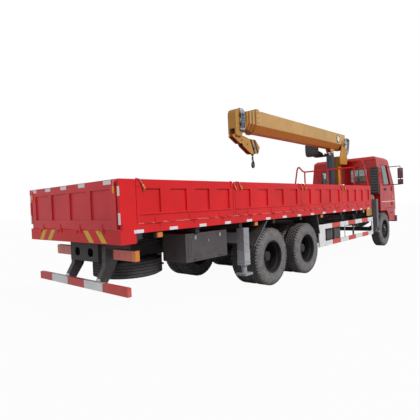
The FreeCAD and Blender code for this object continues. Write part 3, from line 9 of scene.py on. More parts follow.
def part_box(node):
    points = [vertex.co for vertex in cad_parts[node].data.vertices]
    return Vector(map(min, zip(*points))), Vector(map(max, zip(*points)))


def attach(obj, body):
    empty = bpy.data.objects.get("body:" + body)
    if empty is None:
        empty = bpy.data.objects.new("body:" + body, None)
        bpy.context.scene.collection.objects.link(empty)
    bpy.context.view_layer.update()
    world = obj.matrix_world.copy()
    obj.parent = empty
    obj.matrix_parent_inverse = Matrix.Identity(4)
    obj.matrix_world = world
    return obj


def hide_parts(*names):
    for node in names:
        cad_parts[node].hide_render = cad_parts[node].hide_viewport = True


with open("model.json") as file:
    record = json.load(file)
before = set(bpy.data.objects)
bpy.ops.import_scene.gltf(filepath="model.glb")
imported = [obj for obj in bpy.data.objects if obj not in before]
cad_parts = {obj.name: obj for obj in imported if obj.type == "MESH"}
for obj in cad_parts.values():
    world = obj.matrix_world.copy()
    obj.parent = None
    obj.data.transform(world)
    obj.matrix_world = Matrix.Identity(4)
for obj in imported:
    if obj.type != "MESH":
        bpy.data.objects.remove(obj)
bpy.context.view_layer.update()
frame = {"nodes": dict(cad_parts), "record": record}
BODY_OF = {node: body for body, nodes in frame["record"]["behaviour"]["bodies"].items() for node in nodes}

bl_info = {
    "name": "Truck crane dressing",
    "version": (1, 0, 0),
    "blender": (4, 5, 0),
    "location": "3D View > Sidebar > Truck crane",
    "description": "Paints and details a three-axle truck with a telescopic crane",
    "category": "Object",
}

SIDES = {"left": 1, "right": -1}
AXES = {"X": Matrix.Rotation(math.radians(90), 4, "Y"), "Y": Matrix.Rotation(math.radians(-90), 4, "X"),
        "Z": Matrix.Identity(4)}


# Shapes

class Form:
    """A mesh in the making, in the truck's own frame and in metres."""

    def __init__(self):
        self.corners = []
        self.faces = []
        self.finish_of = []
        self.finish = 0

    def add(self, corners, faces, place=None):
        first = len(self.corners)
        if place is not None:
            corners = [place @ Vector(c) for c in corners]
        self.corners.extend(corners)
        self.faces.extend([tuple(first + i for i in face) for face in faces])
        self.finish_of.extend([self.finish] * len(faces))

    def rings(self, rings, closed=False, capped=True, place=None):
        """Joins rings of corners into a skin."""
        count = len(rings[0])
        faces = []
        pairs = len(rings) if closed else len(rings) - 1
        for r in range(pairs):
            near, far = r * count, (r + 1) % len(rings) * count
            for i in range(count):
                j = (i + 1) % count
                faces.append((near + i, near + j, far + j, far + i))
        if capped and not closed:
            faces.append(tuple(reversed(range(count))))
            faces.append(tuple(range((len(rings) - 1) * count, len(rings) * count)))
        self.add([corner for ring in rings for corner in ring], faces, place)

    def box(self, low, high):
        (a, b, c), (d, e, f) = low, high
        a, d, b, e, c, f = min(a, d), max(a, d), min(b, e), max(b, e), min(c, f), max(c, f)
        self.rings([[(a, b, c), (d, b, c), (d, e, c), (a, e, c)], [(a, b, f), (d, b, f), (d, e, f), (a, e, f)]])

    def prism(self, plane, outline, ends):
        """An outline drawn on a plane, thick between two places on its axis."""
        near, far = min(ends), max(ends)
        lay = {"XZ": lambda u, v, w: (u, w, v), "YZ": lambda u, v, w: (w, u, v), "XY": lambda u, v,
               w: (u, v, w)}[plane]
        self.rings([[lay(u, v, w) for u, v in outline] for w in (near, far)])

    def lathe(self, axis, profile, centre, sides=32, closed=False):
        """A turned form about an axis, from an outline of (radius, along)."""
        rings = []
        for radius, along in profile:
            rings.append([(radius * math.cos(2 * math.pi * i / sides), radius * math.sin(2 * math.pi * i / sides),
                           along)
                          for i in range(sides)])
        self.rings(rings, closed=closed, place=Matrix.Translation(centre) @ AXES[axis])

    def rod(self, start, end, radius, sides=12, tip=None):
        """A round bar between two points."""
        start, end = Vector(start), Vector(end)
        turn = (end - start).to_track_quat("Z", "Y").to_matrix().to_4x4()
        far = radius if tip is None else tip
        rings = [[(r * math.cos(2 * math.pi * i / sides), r * math.sin(2 * math.pi * i / sides), z)
                  for i in range(sides)] for r, z in ((radius, 0), (far, (end - start).length))]
        self.rings(rings, place=Matrix.Translation(start) @ turn)

    def tube(self, points, radius, sides=10, closed=False):
        """A round tube along points, with its corners mitred and one radius or one at each point."""
        points = [Vector(p) for p in points]
        count = len(points)
        radii = radius if isinstance(radius, (list, tuple)) else [radius] * count
        rings = []
        normal = None
        for i, point in enumerate(points):
            before = points[i - 1] if i or closed else point
            after = points[(i + 1) % count] if i < count - 1 or closed else point
            run = (after - before).normalized()
            if normal is None:
                normal = run.cross(Vector((0.31, 0.52, 0.79))).normalized()
            normal = (normal - run * normal.dot(run)).normalized()
            other = run.cross(normal)
            rings.append([point + (normal * math.cos(2 * math.pi * k / sides)
                                   + other * math.sin(2 * math.pi * k / sides)) * radii[i] for k in range(sides)])
        self.rings(rings, closed=closed)

    def bolt(self, centre, out, radius=0.012, height=0.009):
        """A hexagon head standing out of a surface."""
        centre, out = Vector(centre), Vector(out)
        self.rod(centre, centre + out * height, radius, 6)
        self.rod(centre, centre + out * (height * 1.5), radius * 0.55, 8)

    def make(self, name, body, finishes, bevel=0.0, smooth=35.0, replaces=(), segments=2):
        """Turns the form into an object that rides on a body."""
        mesh = bpy.data.meshes.new(name)
        mesh.from_pydata([tuple(c) for c in self.corners], [], self.faces)
        for material in finishes:
            mesh.materials.append(material)
        mesh.polygons.foreach_set("material_index", self.finish_of)
        mesh.polygons.foreach_set("use_smooth", [True] * len(mesh.polygons))
        work = bmesh.new()
        work.from_mesh(mesh)
        bmesh.ops.recalc_face_normals(work, faces=work.faces)
        if bevel:
            round_edges(work, bevel, segments)
        work.to_mesh(mesh)
        work.free()
        mesh.set_sharp_from_angle(angle=math.radians(smooth))
        piece = placed(name, mesh, body)
        if replaces:
            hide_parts(*replaces)
        return piece


def placed(name, mesh, body):
    """Puts a mesh in the scene on its body, with its shading evened over the flats."""
    piece = bpy.data.objects.new(name, mesh)
    bpy.context.scene.collection.objects.link(piece)
    even = piece.modifiers.new("even", "WEIGHTED_NORMAL")
    even.keep_sharp = True
    even.weight = 80
    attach(piece, body)
    return piece


def round_edges(work, width, segments=2, least=28.0):
    """Rounds the edges of a mesh that turn by more than an angle."""
    sharp = [edge for edge in work.edges
             if len(edge.link_faces) == 2 and edge.calc_face_angle(0) > math.radians(least)]
    bmesh.ops.bevel(work, geom=sharp, offset=width, offset_type="OFFSET", segments=segments, profile=0.5,
                    affect="EDGES", clamp_overlap=True)


def softened(node, finish, width=0.004, name=None):
    """A copy of a CAD node with its edges rounded as pressed and welded sheet has them."""
    source = frame["nodes"][node]
    work = bmesh.new()
    work.from_mesh(source.data)
    bmesh.ops.remove_doubles(work, verts=work.verts, dist=0.00005)
    bmesh.ops.dissolve_limit(work, angle_limit=math.radians(1.0), verts=work.verts, edges=work.edges)
    bmesh.ops.recalc_face_normals(work, faces=work.faces)
    round_edges(work, width)
    mesh = bpy.data.meshes.new(name or node + "_dressed")
    work.to_mesh(mesh)
    work.free()
    mesh.materials.clear()
    mesh.materials.append(finish)
    mesh.polygons.foreach_set("material_index", [0] * len(mesh.polygons))
    mesh.polygons.foreach_set("use_smooth", [True] * len(mesh.polygons))
    mesh.set_sharp_from_angle(angle=math.radians(50))
    piece = placed(name or node + "_dressed", mesh, BODY_OF[node])
    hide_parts(node)
    return piece


# Finishes

class Nodes:
    """A material's node tree, built from short calls."""

    def __init__(self, name):
        self.material = bpy.data.materials.new(name)
        self.material.use_nodes = True
        self.tree = self.material.node_tree
        self.shader = self.tree.nodes["Principled BSDF"]
        self.place = self.node("ShaderNodeTexCoord").outputs["Object"]

    def node(self, kind, **settings):
        made = self.tree.nodes.new(kind)
        for key, value in settings.items():
            setattr(made, key, value)
        return made

    def link(self, source, target):
        if hasattr(source, "is_output"):
            self.tree.links.new(source, target)
        else:
            target.default_value = source

    def noise(self, scale, detail=3.0, rough=0.55, stretch=None):
        made = self.node("ShaderNodeTexNoise")
        made.inputs["Scale"].default_value = scale
        made.inputs["Detail"].default_value = detail
        made.inputs["Roughness"].default_value = rough
        place = self.place
        if stretch:
            mapping = self.node("ShaderNodeMapping")
            mapping.inputs["Scale"].default_value = stretch
            self.link(self.place, mapping.inputs["Vector"])
            place = mapping.outputs["Vector"]
        self.link(place, made.inputs["Vector"])
        return made.outputs["Fac"]

    def ramp(self, value, *stops, sharp=False):
        made = self.node("ShaderNodeValToRGB")
        made.color_ramp.interpolation = "CONSTANT" if sharp else "LINEAR"
        points = made.color_ramp.elements
        while len(points) < len(stops):
            points.new(1.0)
        for point, (where, colour) in zip(points, stops):
            point.position = where
            point.color = (colour, colour, colour, 1) if isinstance(colour, float) else (*colour, 1)
        self.link(value, made.inputs["Fac"])
        return made.outputs["Color"]

    def math(self, kind, a, b=0.0, c=None):
        made = self.node("ShaderNodeMath", operation=kind)
        self.link(a, made.inputs[0])
        self.link(b, made.inputs[1])
        if c is not None:
            self.link(c, made.inputs[2])
        return made.outputs[0]

    def mix(self, factor, a, b):
        made = self.node("ShaderNodeMix", data_type="RGBA")
        self.link(factor, made.inputs["Factor"])
        for colour, socket in ((a, made.inputs[6]), (b, made.inputs[7])):
            self.link(colour if hasattr(colour, "is_output") else (*colour, 1), socket)
        return made.outputs[2]

    def part(self, letter, source=None):
        made = self.node("ShaderNodeSeparateXYZ")
        self.link(source or self.place, made.inputs[0])
        return made.outputs[letter]

    def reach(self, word):
        """A coordinate by its letter, or its distance from the middle with bars round the letter."""
        value = self.part(word.strip("|").upper())
        return self.math("ABSOLUTE", value) if "|" in word else value

    def inside(self, limits):
        """1 where every coordinate lies between its limits, and 0 elsewhere."""
        share = None
        for word, low, high in limits:
            first, _, lean = word.partition("+")
            value = self.reach(first)
            if lean:
                factor, letter = lean.split("*")
                value = self.math("MULTIPLY_ADD", self.reach(letter), float(factor), value)
            within = self.math("MULTIPLY", self.math("GREATER_THAN", value, low),
                               self.math("LESS_THAN", value, high))
            share = within if share is None else self.math("MULTIPLY", share, within)
        return share

    def facing_up(self):
        """How far the surface faces the sky, from 0 to 1."""
        normal = self.node("ShaderNodeNewGeometry").outputs["Normal"]
        return self.math("MAXIMUM", self.part("Z", normal), 0.0)

    def clamp(self, value):
        made = self.node("ShaderNodeClamp")
        self.link(value, made.inputs["Value"])
        return made.outputs[0]

    def bump(self, height, strength=0.2, depth=0.002):
        made = self.node("ShaderNodeBump")
        made.inputs["Strength"].default_value = strength
        made.inputs["Distance"].default_value = depth
        self.link(height, made.inputs["Height"])
        self.tree.links.new(made.outputs["Normal"], self.shader.inputs["Normal"])

    def set(self, **sockets):
        for name, value in sockets.items():
            self.link(value, self.shader.inputs[name.replace("_", " ")])


DUST = (0.30, 0.26, 0.22)
FINISHES = {}


def shade(colour, factor):
    return tuple(min(1.0, c * factor) for c in colour)


def paint(name, colour, gloss=0.35, dust=0.35, chips=(0.10, 0.08, 0.07), chip_share=0.60, coat=0.25, underside_shade=None,
          marks=()):
    """Sprayed paint with uneven tone, orange peel, worn edges, marked zones, road dust low down, and painted shade
    in a second colour on faces that look down.
    """
    n = Nodes(name)
    tone = n.ramp(n.noise(1.6, 4.0), (0.30, shade(colour, 0.84)), (0.72, shade(colour, 1.08)))
    # painted shade: faces that look down turn to the second colour, the more the further down they face
    if underside_shade:
        down = n.math("MULTIPLY", n.part("Z", n.node("ShaderNodeNewGeometry").outputs["Normal"]), -1.6)
        tone = n.mix(n.clamp(down), tone, underside_shade)
    streak = n.ramp(n.noise(5.0, 3.0, stretch=(1.0, 1.0, 0.12)), (0.50, 0.0), (0.85, 0.22))
    tone = n.mix(streak, tone, shade(colour, 0.66))
    for mark, limits in marks:
        tone = n.mix(n.inside(limits), tone, mark)
    low = n.node("ShaderNodeMapRange")
    low.inputs["From Min"].default_value = 1.5
    low.inputs["From Max"].default_value = 0.3
    n.link(n.part("Z"), low.inputs["Value"])
    settled = n.math("MAXIMUM", low.outputs[0], n.math("MULTIPLY", n.facing_up(), 0.45))
    patches = n.ramp(n.noise(7.0, 5.0, 0.7), (0.35, 0.1), (0.75, 1.0))
    film = n.math("MULTIPLY", n.math("MULTIPLY", settled, patches), dust)
    tone = n.mix(film, tone, DUST)
    edge = n.ramp(n.node("ShaderNodeNewGeometry").outputs["Pointiness"], (0.53, 0.0), (0.60, 1.0))
    flakes = n.ramp(n.noise(38.0, 4.0, 0.75), (chip_share, 0.0), (chip_share + 0.06, 1.0))
    worn = n.math("MULTIPLY", edge, flakes)
    tone = n.mix(worn, tone, chips)
    n.set(Base_Color=tone, Coat_Weight=coat, Coat_Roughness=0.12, Specular_IOR_Level=0.30)
    n.set(Roughness=n.ramp(film, (0.0, gloss), (0.5, 0.85)))
    n.bump(n.noise(260.0, 2.0), 0.12, 0.0006)
    FINISHES[name] = n.material
    return n.material


def rubber(name, colour, grime=0.35, walls=False):
    """Weathered rubber, greyed by road dust, and most of all on a tyre's side walls."""
    n = Nodes(name)
    tone = n.ramp(n.noise(6.0, 5.0, 0.7), (0.32, shade(colour, 0.80)), (0.70, shade(colour, 1.25)))
    dusty = n.math("MULTIPLY", n.ramp(n.noise(9.0, 5.0, 0.65), (0.30, 0.25), (0.72, 1.0)), grime)
    if walls:
        facing = n.math("ABSOLUTE", n.part("Y", n.node("ShaderNodeNewGeometry").outputs["Normal"]))
        dusty = n.math("MULTIPLY", dusty, n.ramp(facing, (0.35, 0.30), (0.80, 1.0)))
    n.set(Base_Color=n.mix(dusty, tone, (0.23, 0.215, 0.20)), Roughness=n.ramp(dusty, (0.0, 0.62), (0.35, 0.92)))
    n.bump(n.noise(180.0, 4.0, 0.6), 0.25, 0.0012)
    FINISHES[name] = n.material
    return n.material


def bare_metal(name, colour, rough=0.32, brushed=(1.0, 1.0, 14.0), metal=1.0, rust=0.15):
    """Bright or plated metal with fine marks and a little rust."""
    n = Nodes(name)
    marks = n.noise(60.0, 4.0, 0.6, stretch=brushed)
    tone = n.ramp(marks, (0.3, shade(colour, 0.82)), (0.7, shade(colour, 1.06)))
    spots = n.math("MULTIPLY", n.ramp(n.noise(11.0, 6.0, 0.75), (0.55, 0.0), (0.70, 1.0)), rust)
    n.set(Base_Color=n.mix(spots, tone, (0.20, 0.085, 0.03)), Metallic=metal,
          Roughness=n.ramp(marks, (0.2, rough * 0.8), (0.8, rough * 1.3)))
    n.bump(marks, 0.08, 0.0005)
    FINISHES[name] = n.material
    return n.material


def plastic(name, colour, rough=0.55, grain=420.0):
    """Moulded plastic with a fine leather grain."""
    n = Nodes(name)
    cells = n.node("ShaderNodeTexVoronoi", feature="DISTANCE_TO_EDGE")
    cells.inputs["Scale"].default_value = grain
    n.link(n.place, cells.inputs["Vector"])
    tone = n.ramp(n.noise(4.0, 4.0), (0.3, shade(colour, 0.8)), (0.75, shade(colour, 1.25)))
    n.set(Base_Color=tone, Roughness=n.ramp(n.noise(20.0, 3.0), (0.3, rough * 0.85), (0.8, min(1.0, rough * 1.2))))
    n.bump(cells.outputs["Distance"], 0.25, 0.0006)
    FINISHES[name] = n.material
    return n.material


def lens(name, colour, glow=0.0):
    """A moulded lamp lens with fine flutes."""
    n = Nodes(name)
    flutes = n.node("ShaderNodeTexWave", wave_type="BANDS", bands_direction="Y", wave_profile="SIN")
    flutes.inputs["Scale"].default_value = 22.0
    n.link(n.place, flutes.inputs["Vector"])
    n.set(Base_Color=n.ramp(flutes.outputs["Fac"], (0.1, shade(colour, 0.7)), (0.9, shade(colour, 1.15))),
          Roughness=0.14, Coat_Weight=0.7, Transmission_Weight=0.0, Emission_Strength=glow,
          Emission_Color=(*colour, 1))
    n.bump(flutes.outputs["Fac"], 0.3, 0.003)
    FINISHES[name] = n.material
    return n.material


def tape(name, colour):
    """Reflective tape with a honeycomb of sealed cells."""
    n = Nodes(name)
    cells = n.node("ShaderNodeTexVoronoi", feature="DISTANCE_TO_EDGE")
    cells.inputs["Scale"].default_value = 160.0
    n.link(n.place, cells.inputs["Vector"])
    net = n.ramp(cells.outputs["Distance"], (0.02, 0.0), (0.10, 1.0))
    worn = n.ramp(n.noise(9.0, 5.0, 0.7), (0.35, shade(colour, 0.72)), (0.70, colour))
    n.set(Base_Color=n.mix(net, shade(colour, 0.8), worn), Roughness=0.30, Coat_Weight=0.5)
    FINISHES[name] = n.material
    return n.material


def glass(name, colour, see_through=0.75):
    """Window glass with a faint film of dust."""
    n = Nodes(name)
    film = n.ramp(n.noise(3.0, 5.0, 0.7), (0.40, 0.03), (0.80, 0.10))
    n.set(Base_Color=n.ramp(n.noise(1.2), (0.3, shade(colour, 0.92)), (0.8, colour)), Roughness=film,
          IOR=1.45, Transmission_Weight=see_through)
    FINISHES[name] = n.material
    return n.material


def vinyl(name, colour):
    """Seat cloth in a fine woven rib."""
    n = Nodes(name)
    weave = n.node("ShaderNodeTexWave", wave_type="BANDS", bands_direction="Y", wave_profile="SIN")
    weave.inputs["Scale"].default_value = 110.0
    weave.inputs["Distortion"].default_value = 1.2
    n.link(n.place, weave.inputs["Vector"])
    n.set(Base_Color=n.ramp(n.noise(9.0, 4.0), (0.3, shade(colour, 0.75)), (0.75, shade(colour, 1.25))),
          Roughness=n.ramp(weave.outputs["Fac"], (0.0, 0.75), (1.0, 0.95)), Sheen_Weight=0.25)
    n.bump(weave.outputs["Fac"], 0.35, 0.001)
    FINISHES[name] = n.material
    return n.material


def guard_paint(name, white, red, steel, side_marks, rear_marks, side_y, rear_x):
    """White guard bars with red blocks along them, and dark stays behind them."""
    n = Nodes(name)
    x, y = n.part("X"), n.part("Y")
    span = side_marks[-1][0] - side_marks[0][0]
    along = n.math("DIVIDE", n.math("SUBTRACT", x, side_marks[0][0]), span)
    side = n.ramp(along, *[((m - side_marks[0][0]) / span, red if is_red else white) for m,
                           is_red in side_marks[:-1]],
                  sharp=True)
    width = rear_marks[-1][0] - rear_marks[0][0]
    across = n.math("DIVIDE", n.math("SUBTRACT", y, rear_marks[0][0]), width)
    rear = n.ramp(across, *[((m - rear_marks[0][0]) / width, red if is_red else white) for m,
                            is_red in rear_marks[:-1]],
                  sharp=True)
    at_rear = n.math("LESS_THAN", x, rear_x)
    tone = n.mix(at_rear, n.mix(n.math("LESS_THAN", n.math("ABSOLUTE", y), side_y), side, steel), rear)
    wide = n.math("MULTIPLY", n.math("GREATER_THAN", x, rear_x), n.math("LESS_THAN", x, rear_x + 0.6))
    tone = n.mix(wide, tone, steel)
    tone = n.mix(n.inside([("x", -0.08, 3.065), ("z", 0.585, 0.862)]), tone, steel)
    grime = n.math("MULTIPLY", n.ramp(n.noise(6.0, 6.0, 0.7), (0.42, 0.0), (0.75, 1.0)), 0.35)
    tone = n.mix(grime, tone, DUST)
    n.set(Base_Color=tone, Roughness=n.ramp(grime, (0.0, 0.38), (0.3, 0.8)), Coat_Weight=0.15)
    n.bump(n.noise(240.0, 2.0), 0.12, 0.0006)
    FINISHES[name] = n.material
    return n.material


def make_finishes(paints):
    """Every finish on the truck, in the colours of the panel."""
    red = tuple(paints.bed_red)
    yellow = tuple(paints.crane_yellow)
    white, dark = (0.70, 0.70, 0.71), (0.030, 0.026, 0.028)
    amber = (0.62, 0.40, 0.03)
    sheet = dict(gloss=0.36, dust=0.12, chips=(0.16, 0.05, 0.04), chip_share=0.70, coat=0.12)
    paint("red_paint", red, **sheet)
    stripes = [(amber, [("x", -9.0, -5.69), ("z", 1.108, 1.262),
                        (f"y+{lean}*z", y + lean * 1.17 - 0.058, y + lean * 1.17 + 0.058)])
               for y, lean in ((0.83, 0.90), (0.56, 0.90), (-0.53, -0.90), (-0.83, -0.90))]
    posts = [(white, [("x", -9.0, -5.698), ("|y|", 1.206, 9.0), ("z", low, high)]) for low,
             high in ((1.685, 1.80), (1.34, 1.48))]
    # painted shade: rear faces of the bed, x below -5.7125, and the whole tailgate take a paler, greyer red for the
    # shade they stand in
    rear_shade_red = (0.66, 0.034, 0.042)
    paint("bed_red", red, marks=[(dark, [("z", 0.0, 1.2185), ("x", -5.478, 9.0)]), (rear_shade_red, [("x", -9.0, -5.7125)]),
                                 *stripes, *posts], **sheet)
    squares = [(white, [("x", -9.0, -5.69), ("z", 1.832, 1.883), ("y", y - 0.085, y + 0.085)])
               for y in (1.085, 0.60, 0.11, -0.39, -1.0)]
    paint("tail_shade_red", rear_shade_red, marks=squares, **sheet)
    # painted highlight: a thin white line along the crease low on the cab's sides
    crease_highlight = [(white, [("z", 1.392, 1.412), ("|y|", 1.10, 9.0), ("x", 4.20, 5.60)])]
    paint("cab_red", shade(red, 0.78), gloss=0.26, dust=0.22, chips=(0.14, 0.05, 0.04), chip_share=0.72, coat=0.35,
          marks=crease_highlight)
    # the crane paints turn to a painted shade colour on faces that look down
    paint("head_yellow", (0.46, 0.235, 0.050), gloss=0.46, dust=0.16, chips=(0.19, 0.10, 0.05), chip_share=0.60,
          coat=0.06,
          underside_shade=tuple(paints.underside_shade_orange))
    paint("crane_yellow", yellow, gloss=0.50, dust=0.20, chips=(0.19, 0.10, 0.05), chip_share=0.60, coat=0.04,
          underside_shade=tuple(paints.underside_shade_orange))
    bands = [(dark, [("x+0.45*z", middle - 0.034, middle + 0.034), ("z", 2.62, 2.99)]) for middle in (0.02, 0.16)]
    # painted shade: faces between the hook block's cheeks, |y| under 0.0505, are dark red-brown
    paint("hook_yellow", (0.50, 0.255, 0.062), gloss=0.5, dust=0.2, coat=0.04, underside_shade=tuple(paints.underside_shade_orange),
          marks=[*bands, ((0.10, 0.016, 0.012), [("|y|", -1.0, 0.0505)])])
    paint("column_paint", (0.50, 0.225, 0.032), gloss=0.46, dust=0.16, chips=(0.19, 0.10, 0.05), coat=0.04,
          underside_shade=tuple(paints.underside_shade_orange),
          marks=[(dark, [("x", 3.585, 4.2), ("|y|", -1.0, 0.1395), ("z", 2.66, 3.01)])])
    paint("beam_paint", (0.50, 0.265, 0.060), gloss=0.48, dust=0.18, chips=(0.19, 0.10, 0.05), coat=0.04,
          marks=[((0.14, 0.14, 0.17), [("|y|", 1.062, 9.0), ("x", 3.42, 3.60)])])
    paint("cylinder_grey", (0.045, 0.058, 0.092), gloss=0.38, dust=0.25, coat=0.20)
    paint("chassis_black", tuple(paints.frame_black), gloss=0.55, dust=0.16, chips=(0.16, 0.10, 0.07), coat=0.05)
    paint("tank_grey", (0.062, 0.054, 0.059), gloss=0.50, dust=0.26, coat=0.10)
    paint("leg_grey", (0.30, 0.295, 0.330), gloss=0.42, dust=0.30, coat=0.10)
    paint("leg_dark", (0.17, 0.17, 0.20), gloss=0.36, dust=0.20, coat=0.12)
    paint("leg_light", (0.36, 0.355, 0.385), gloss=0.36, dust=0.25, coat=0.10)
    paint("white_paint", (0.72, 0.72, 0.74), gloss=0.35, dust=0.25)
    # dark grease, and painted shade: the hubs deep in the wheel dishes are made near-black for the shade there
    paint("grease_and_hub_shade", (0.020, 0.018, 0.019), gloss=0.60, dust=0.12)
    paint("wheel_black", (0.013, 0.012, 0.014), gloss=0.52, dust=0.06, coat=0.0)
    paint("mirror_red", (0.085, 0.012, 0.018), gloss=0.35, dust=0.2, coat=0.2)
    paint("flap_black", (0.030, 0.028, 0.030), gloss=0.6, dust=0.45, coat=0.0,
          marks=[((0.17, 0.17, 0.18), [("|y|", 1.222, 9.0)])])
    rubber("tyre", tuple(paints.tyre_rubber), grime=0.85, walls=True)
    rubber("spare_rubber", (0.030, 0.027, 0.029), grime=0.12)
    rubber("hose", (0.022, 0.021, 0.022), grime=0.25)
    bare_metal("ram_steel", (0.62, 0.62, 0.64), rough=0.16, rust=0.03)
    bare_metal("grey_steel", (0.34, 0.35, 0.37), rough=0.42, rust=0.30)
    bare_metal("zinc", (0.60, 0.60, 0.58), rough=0.34, rust=0.10)
    bare_metal("fitting_blue", (0.26, 0.32, 0.44), rough=0.40, rust=0.08)
    bare_metal("forged", (0.13, 0.13, 0.14), rough=0.48, brushed=(3.0, 3.0, 9.0), metal=0.6, rust=0.20)
    bare_metal("rope", (0.30, 0.29, 0.28), rough=0.50, brushed=(40.0, 40.0, 40.0), rust=0.20)
    plastic("black_plastic", (0.030, 0.029, 0.031), rough=0.50)
    plastic("grey_plastic", (0.11, 0.11, 0.115), rough=0.60)
    plastic("yellow_grip", (0.72, 0.38, 0.03), rough=0.42, grain=160.0)
    lens("red_lens", (0.66, 0.115, 0.080))
    lens("amber_lens", (0.72, 0.22, 0.022))
    lens("clear_lens", (0.74, 0.76, 0.78))
    tape("white_tape", (0.76, 0.76, 0.78))
    glass("window_glass", (0.74, 0.82, 0.80), see_through=0.88)
    # painted reflection: the mirror glass is a dim pinkish red that stands for what it reflects
    glass("mirror_reflection_tint", (0.20, 0.12, 0.135), see_through=0.0)
    vinyl("seat_cloth", (0.055, 0.055, 0.060))
    guard_paint("guard_white", (0.70, 0.70, 0.71), (0.56, 0.045, 0.040), (0.06, 0.052, 0.056),
                [(-0.42, False), (0.273, True), (0.76, False), (1.266, True), (1.75, False), (2.246, True),
                 (2.707, False), (3.16, False)],
                [(-1.2, True), (-0.65, False), (-0.18, True), (0.29, False), (0.785, True), (1.2, False)],
                1.165, -5.53)


# Wheels

TYRE_LINE = [(0.286, -0.105), (0.296, -0.126), (0.330, -0.137), (0.408, -0.140), (0.455, -0.137), (0.487, -0.128),
             (0.500, -0.113), (0.507, -0.100), (0.512, -0.085), (0.512, -0.060), (0.512, 0.060), (0.512, 0.085),
             (0.507, 0.100), (0.500, 0.113), (0.487, 0.128), (0.455, 0.137), (0.408, 0.140), (0.330, 0.137),
             (0.296, 0.126), (0.286, 0.105)]
TYRE_RADIUS = 0.53


def tread_block(form, start, angle, width, low, high, along, lean):
    """A tread block as a wedge that follows the round of the tyre."""
    rings = []
    for radius, shrink in ((low, 0.0), (high - 0.003, 0.0), (high, 0.0025)):
        ring = []
        for du, dv in ((-1, -1), (1, -1), (1, 1), (-1, 1)):
            turn = start + du * (angle / 2 - shrink / radius) + dv * lean
            ring.append((radius * math.cos(turn), radius * math.sin(turn), along + dv * (width / 2 - shrink)))
        rings.append(ring)
    form.rings(rings, place=form.place)


def add_tyre(form, centre, axis="Y", blocks=54):
    """A ribbed lorry tyre: side walls with rings, grooves and open shoulder blocks."""
    form.place = Matrix.Translation(centre) @ AXES[axis]
    form.lathe(axis, TYRE_LINE, centre, 72, closed=True)
    for side in (-1, 1):
        for radius, out, thick in ((0.345, 0.1385, 0.004), (0.440, 0.1385, 0.003), (0.300, 0.128, 0.006)):
            form.lathe(axis, [(radius, side * (out - 0.008)), (radius + 0.001, side * (out + 0.001)),
                              (radius + thick, side * (out + 0.001)),
                              (radius + thick + 0.001, side * (out - 0.008))],
                       centre, 72, closed=True)
    for k in range(blocks):
        start = 2 * math.pi * k / blocks
        step = 2 * math.pi / blocks
        for along, width, share, phase, lean in ((-0.088, 0.036, 0.62, 0.0, 0.004),
                                                 (-0.044, 0.036, 0.80, 0.5, 0.012),
                                                 (0.0, 0.036, 0.80, 0.0, -0.012), (0.044, 0.036, 0.80, 0.5, 0.012),
                                                 (0.088, 0.036, 0.62, 0.0, -0.004)):
            tread_block(form, start + phase * step, step * share, width, 0.505, TYRE_RADIUS, along, lean)
        for side in (-1, 1):
            low = 0.462 if k % 2 else 0.480
            rings = []
            for du in (-0.27, 0.27):
                turn = start + du * step
                rings.append([(r * math.cos(turn), r * math.sin(turn), side * a)
                              for r, a in ((low, 0.120), (low, 0.1385), (0.507, 0.1275), (0.527, 0.108),
                                           (0.505, 0.095))])
            form.rings(rings, place=form.place)


def add_disc(form, centre, out, holes=10, face=0.045, low=0.130, high=0.268):
    """A pressed wheel disc with hand holes, facing one side."""
    place = Matrix.Translation(centre) @ AXES["Y"]
    sides = holes * 8
    radii = [0.085, low, 0.165, 0.180, 0.196, 0.236, 0.248, high]
    depth = [0.072, 0.070, 0.064, 0.052, 0.040, 0.024, 0.014, 0.008]

    def spot(r, k, back):
        turn = 2 * math.pi * k / sides
        return (radii[r] * math.cos(turn), radii[r] * math.sin(turn),
                out * (face - 0.045 + depth[r] - back * 0.012))

    corners = [spot(r, k, back) for back in (0, 1) for r in range(len(radii)) for k in range(sides)]
    skin = len(radii) * sides
    faces = []
    for r in range(len(radii) - 1):
        for k in range(sides):
            if r == 4 and k % 8 in (2, 3, 4):
                continue
            a, b = r * sides + k, r * sides + (k + 1) % sides
            faces += [(a, b, b + sides, a + sides), (a + skin, b + skin, b + sides + skin, a + sides + skin)]
    for hole in range(holes):
        first = hole * 8 + 2
        inner, outer = 4 * sides, 5 * sides
        edge = [inner + first + i for i in range(4)] + [outer + first + 3 - i for i in range(4)]
        for a, b in zip(edge, edge[1:] + edge[:1]):
            faces.append((a, b, b + skin, a + skin))
    for row in (0, (len(radii) - 1) * sides):
        for k in range(sides):
            a, b = row + k, row + (k + 1) % sides
            faces.append((a, b, b + skin, a + skin))
    form.add(corners, faces, place)


def add_rim_ring(form, centre, half):
    """The rolled rim that carries the tyre."""
    form.lathe("Y", [(0.266, -half), (0.2685, -half + 0.004), (0.268, -half + 0.03), (0.252, -half + 0.055),
                     (0.252, half - 0.055),
                     (0.268, half - 0.03), (0.2685, half - 0.004), (0.266, half), (0.2855, half),
                     (0.2855, half - 0.01),
                     (0.276, half - 0.02), (0.262, half - 0.06), (0.262, -half + 0.06), (0.276, -half + 0.02),
                     (0.2855, -half + 0.01), (0.2855, -half)], centre, 72, closed=True)


def add_lip(form, centre, out):
    """The rim's flange over the tyre bead, black with a lighter bare-metal band on its edge that is a painted
    highlight.
    """
    form.finish = 0
    form.lathe("Y", [(0.280, out * 0.100), (0.281, out * 0.130), (0.304, out * 0.1365), (0.304, out * 0.118)],
               centre, 72, closed=True)
    # painted highlight: a lighter bare-metal ring on the flange's edge
    form.finish = 2
    form.lathe("Y", [(0.304, out * 0.120), (0.304, out * 0.1370), (0.309, out * 0.1375), (0.311, out * 0.1340),
                     (0.311, out * 0.120)],
               centre, 72, closed=True)


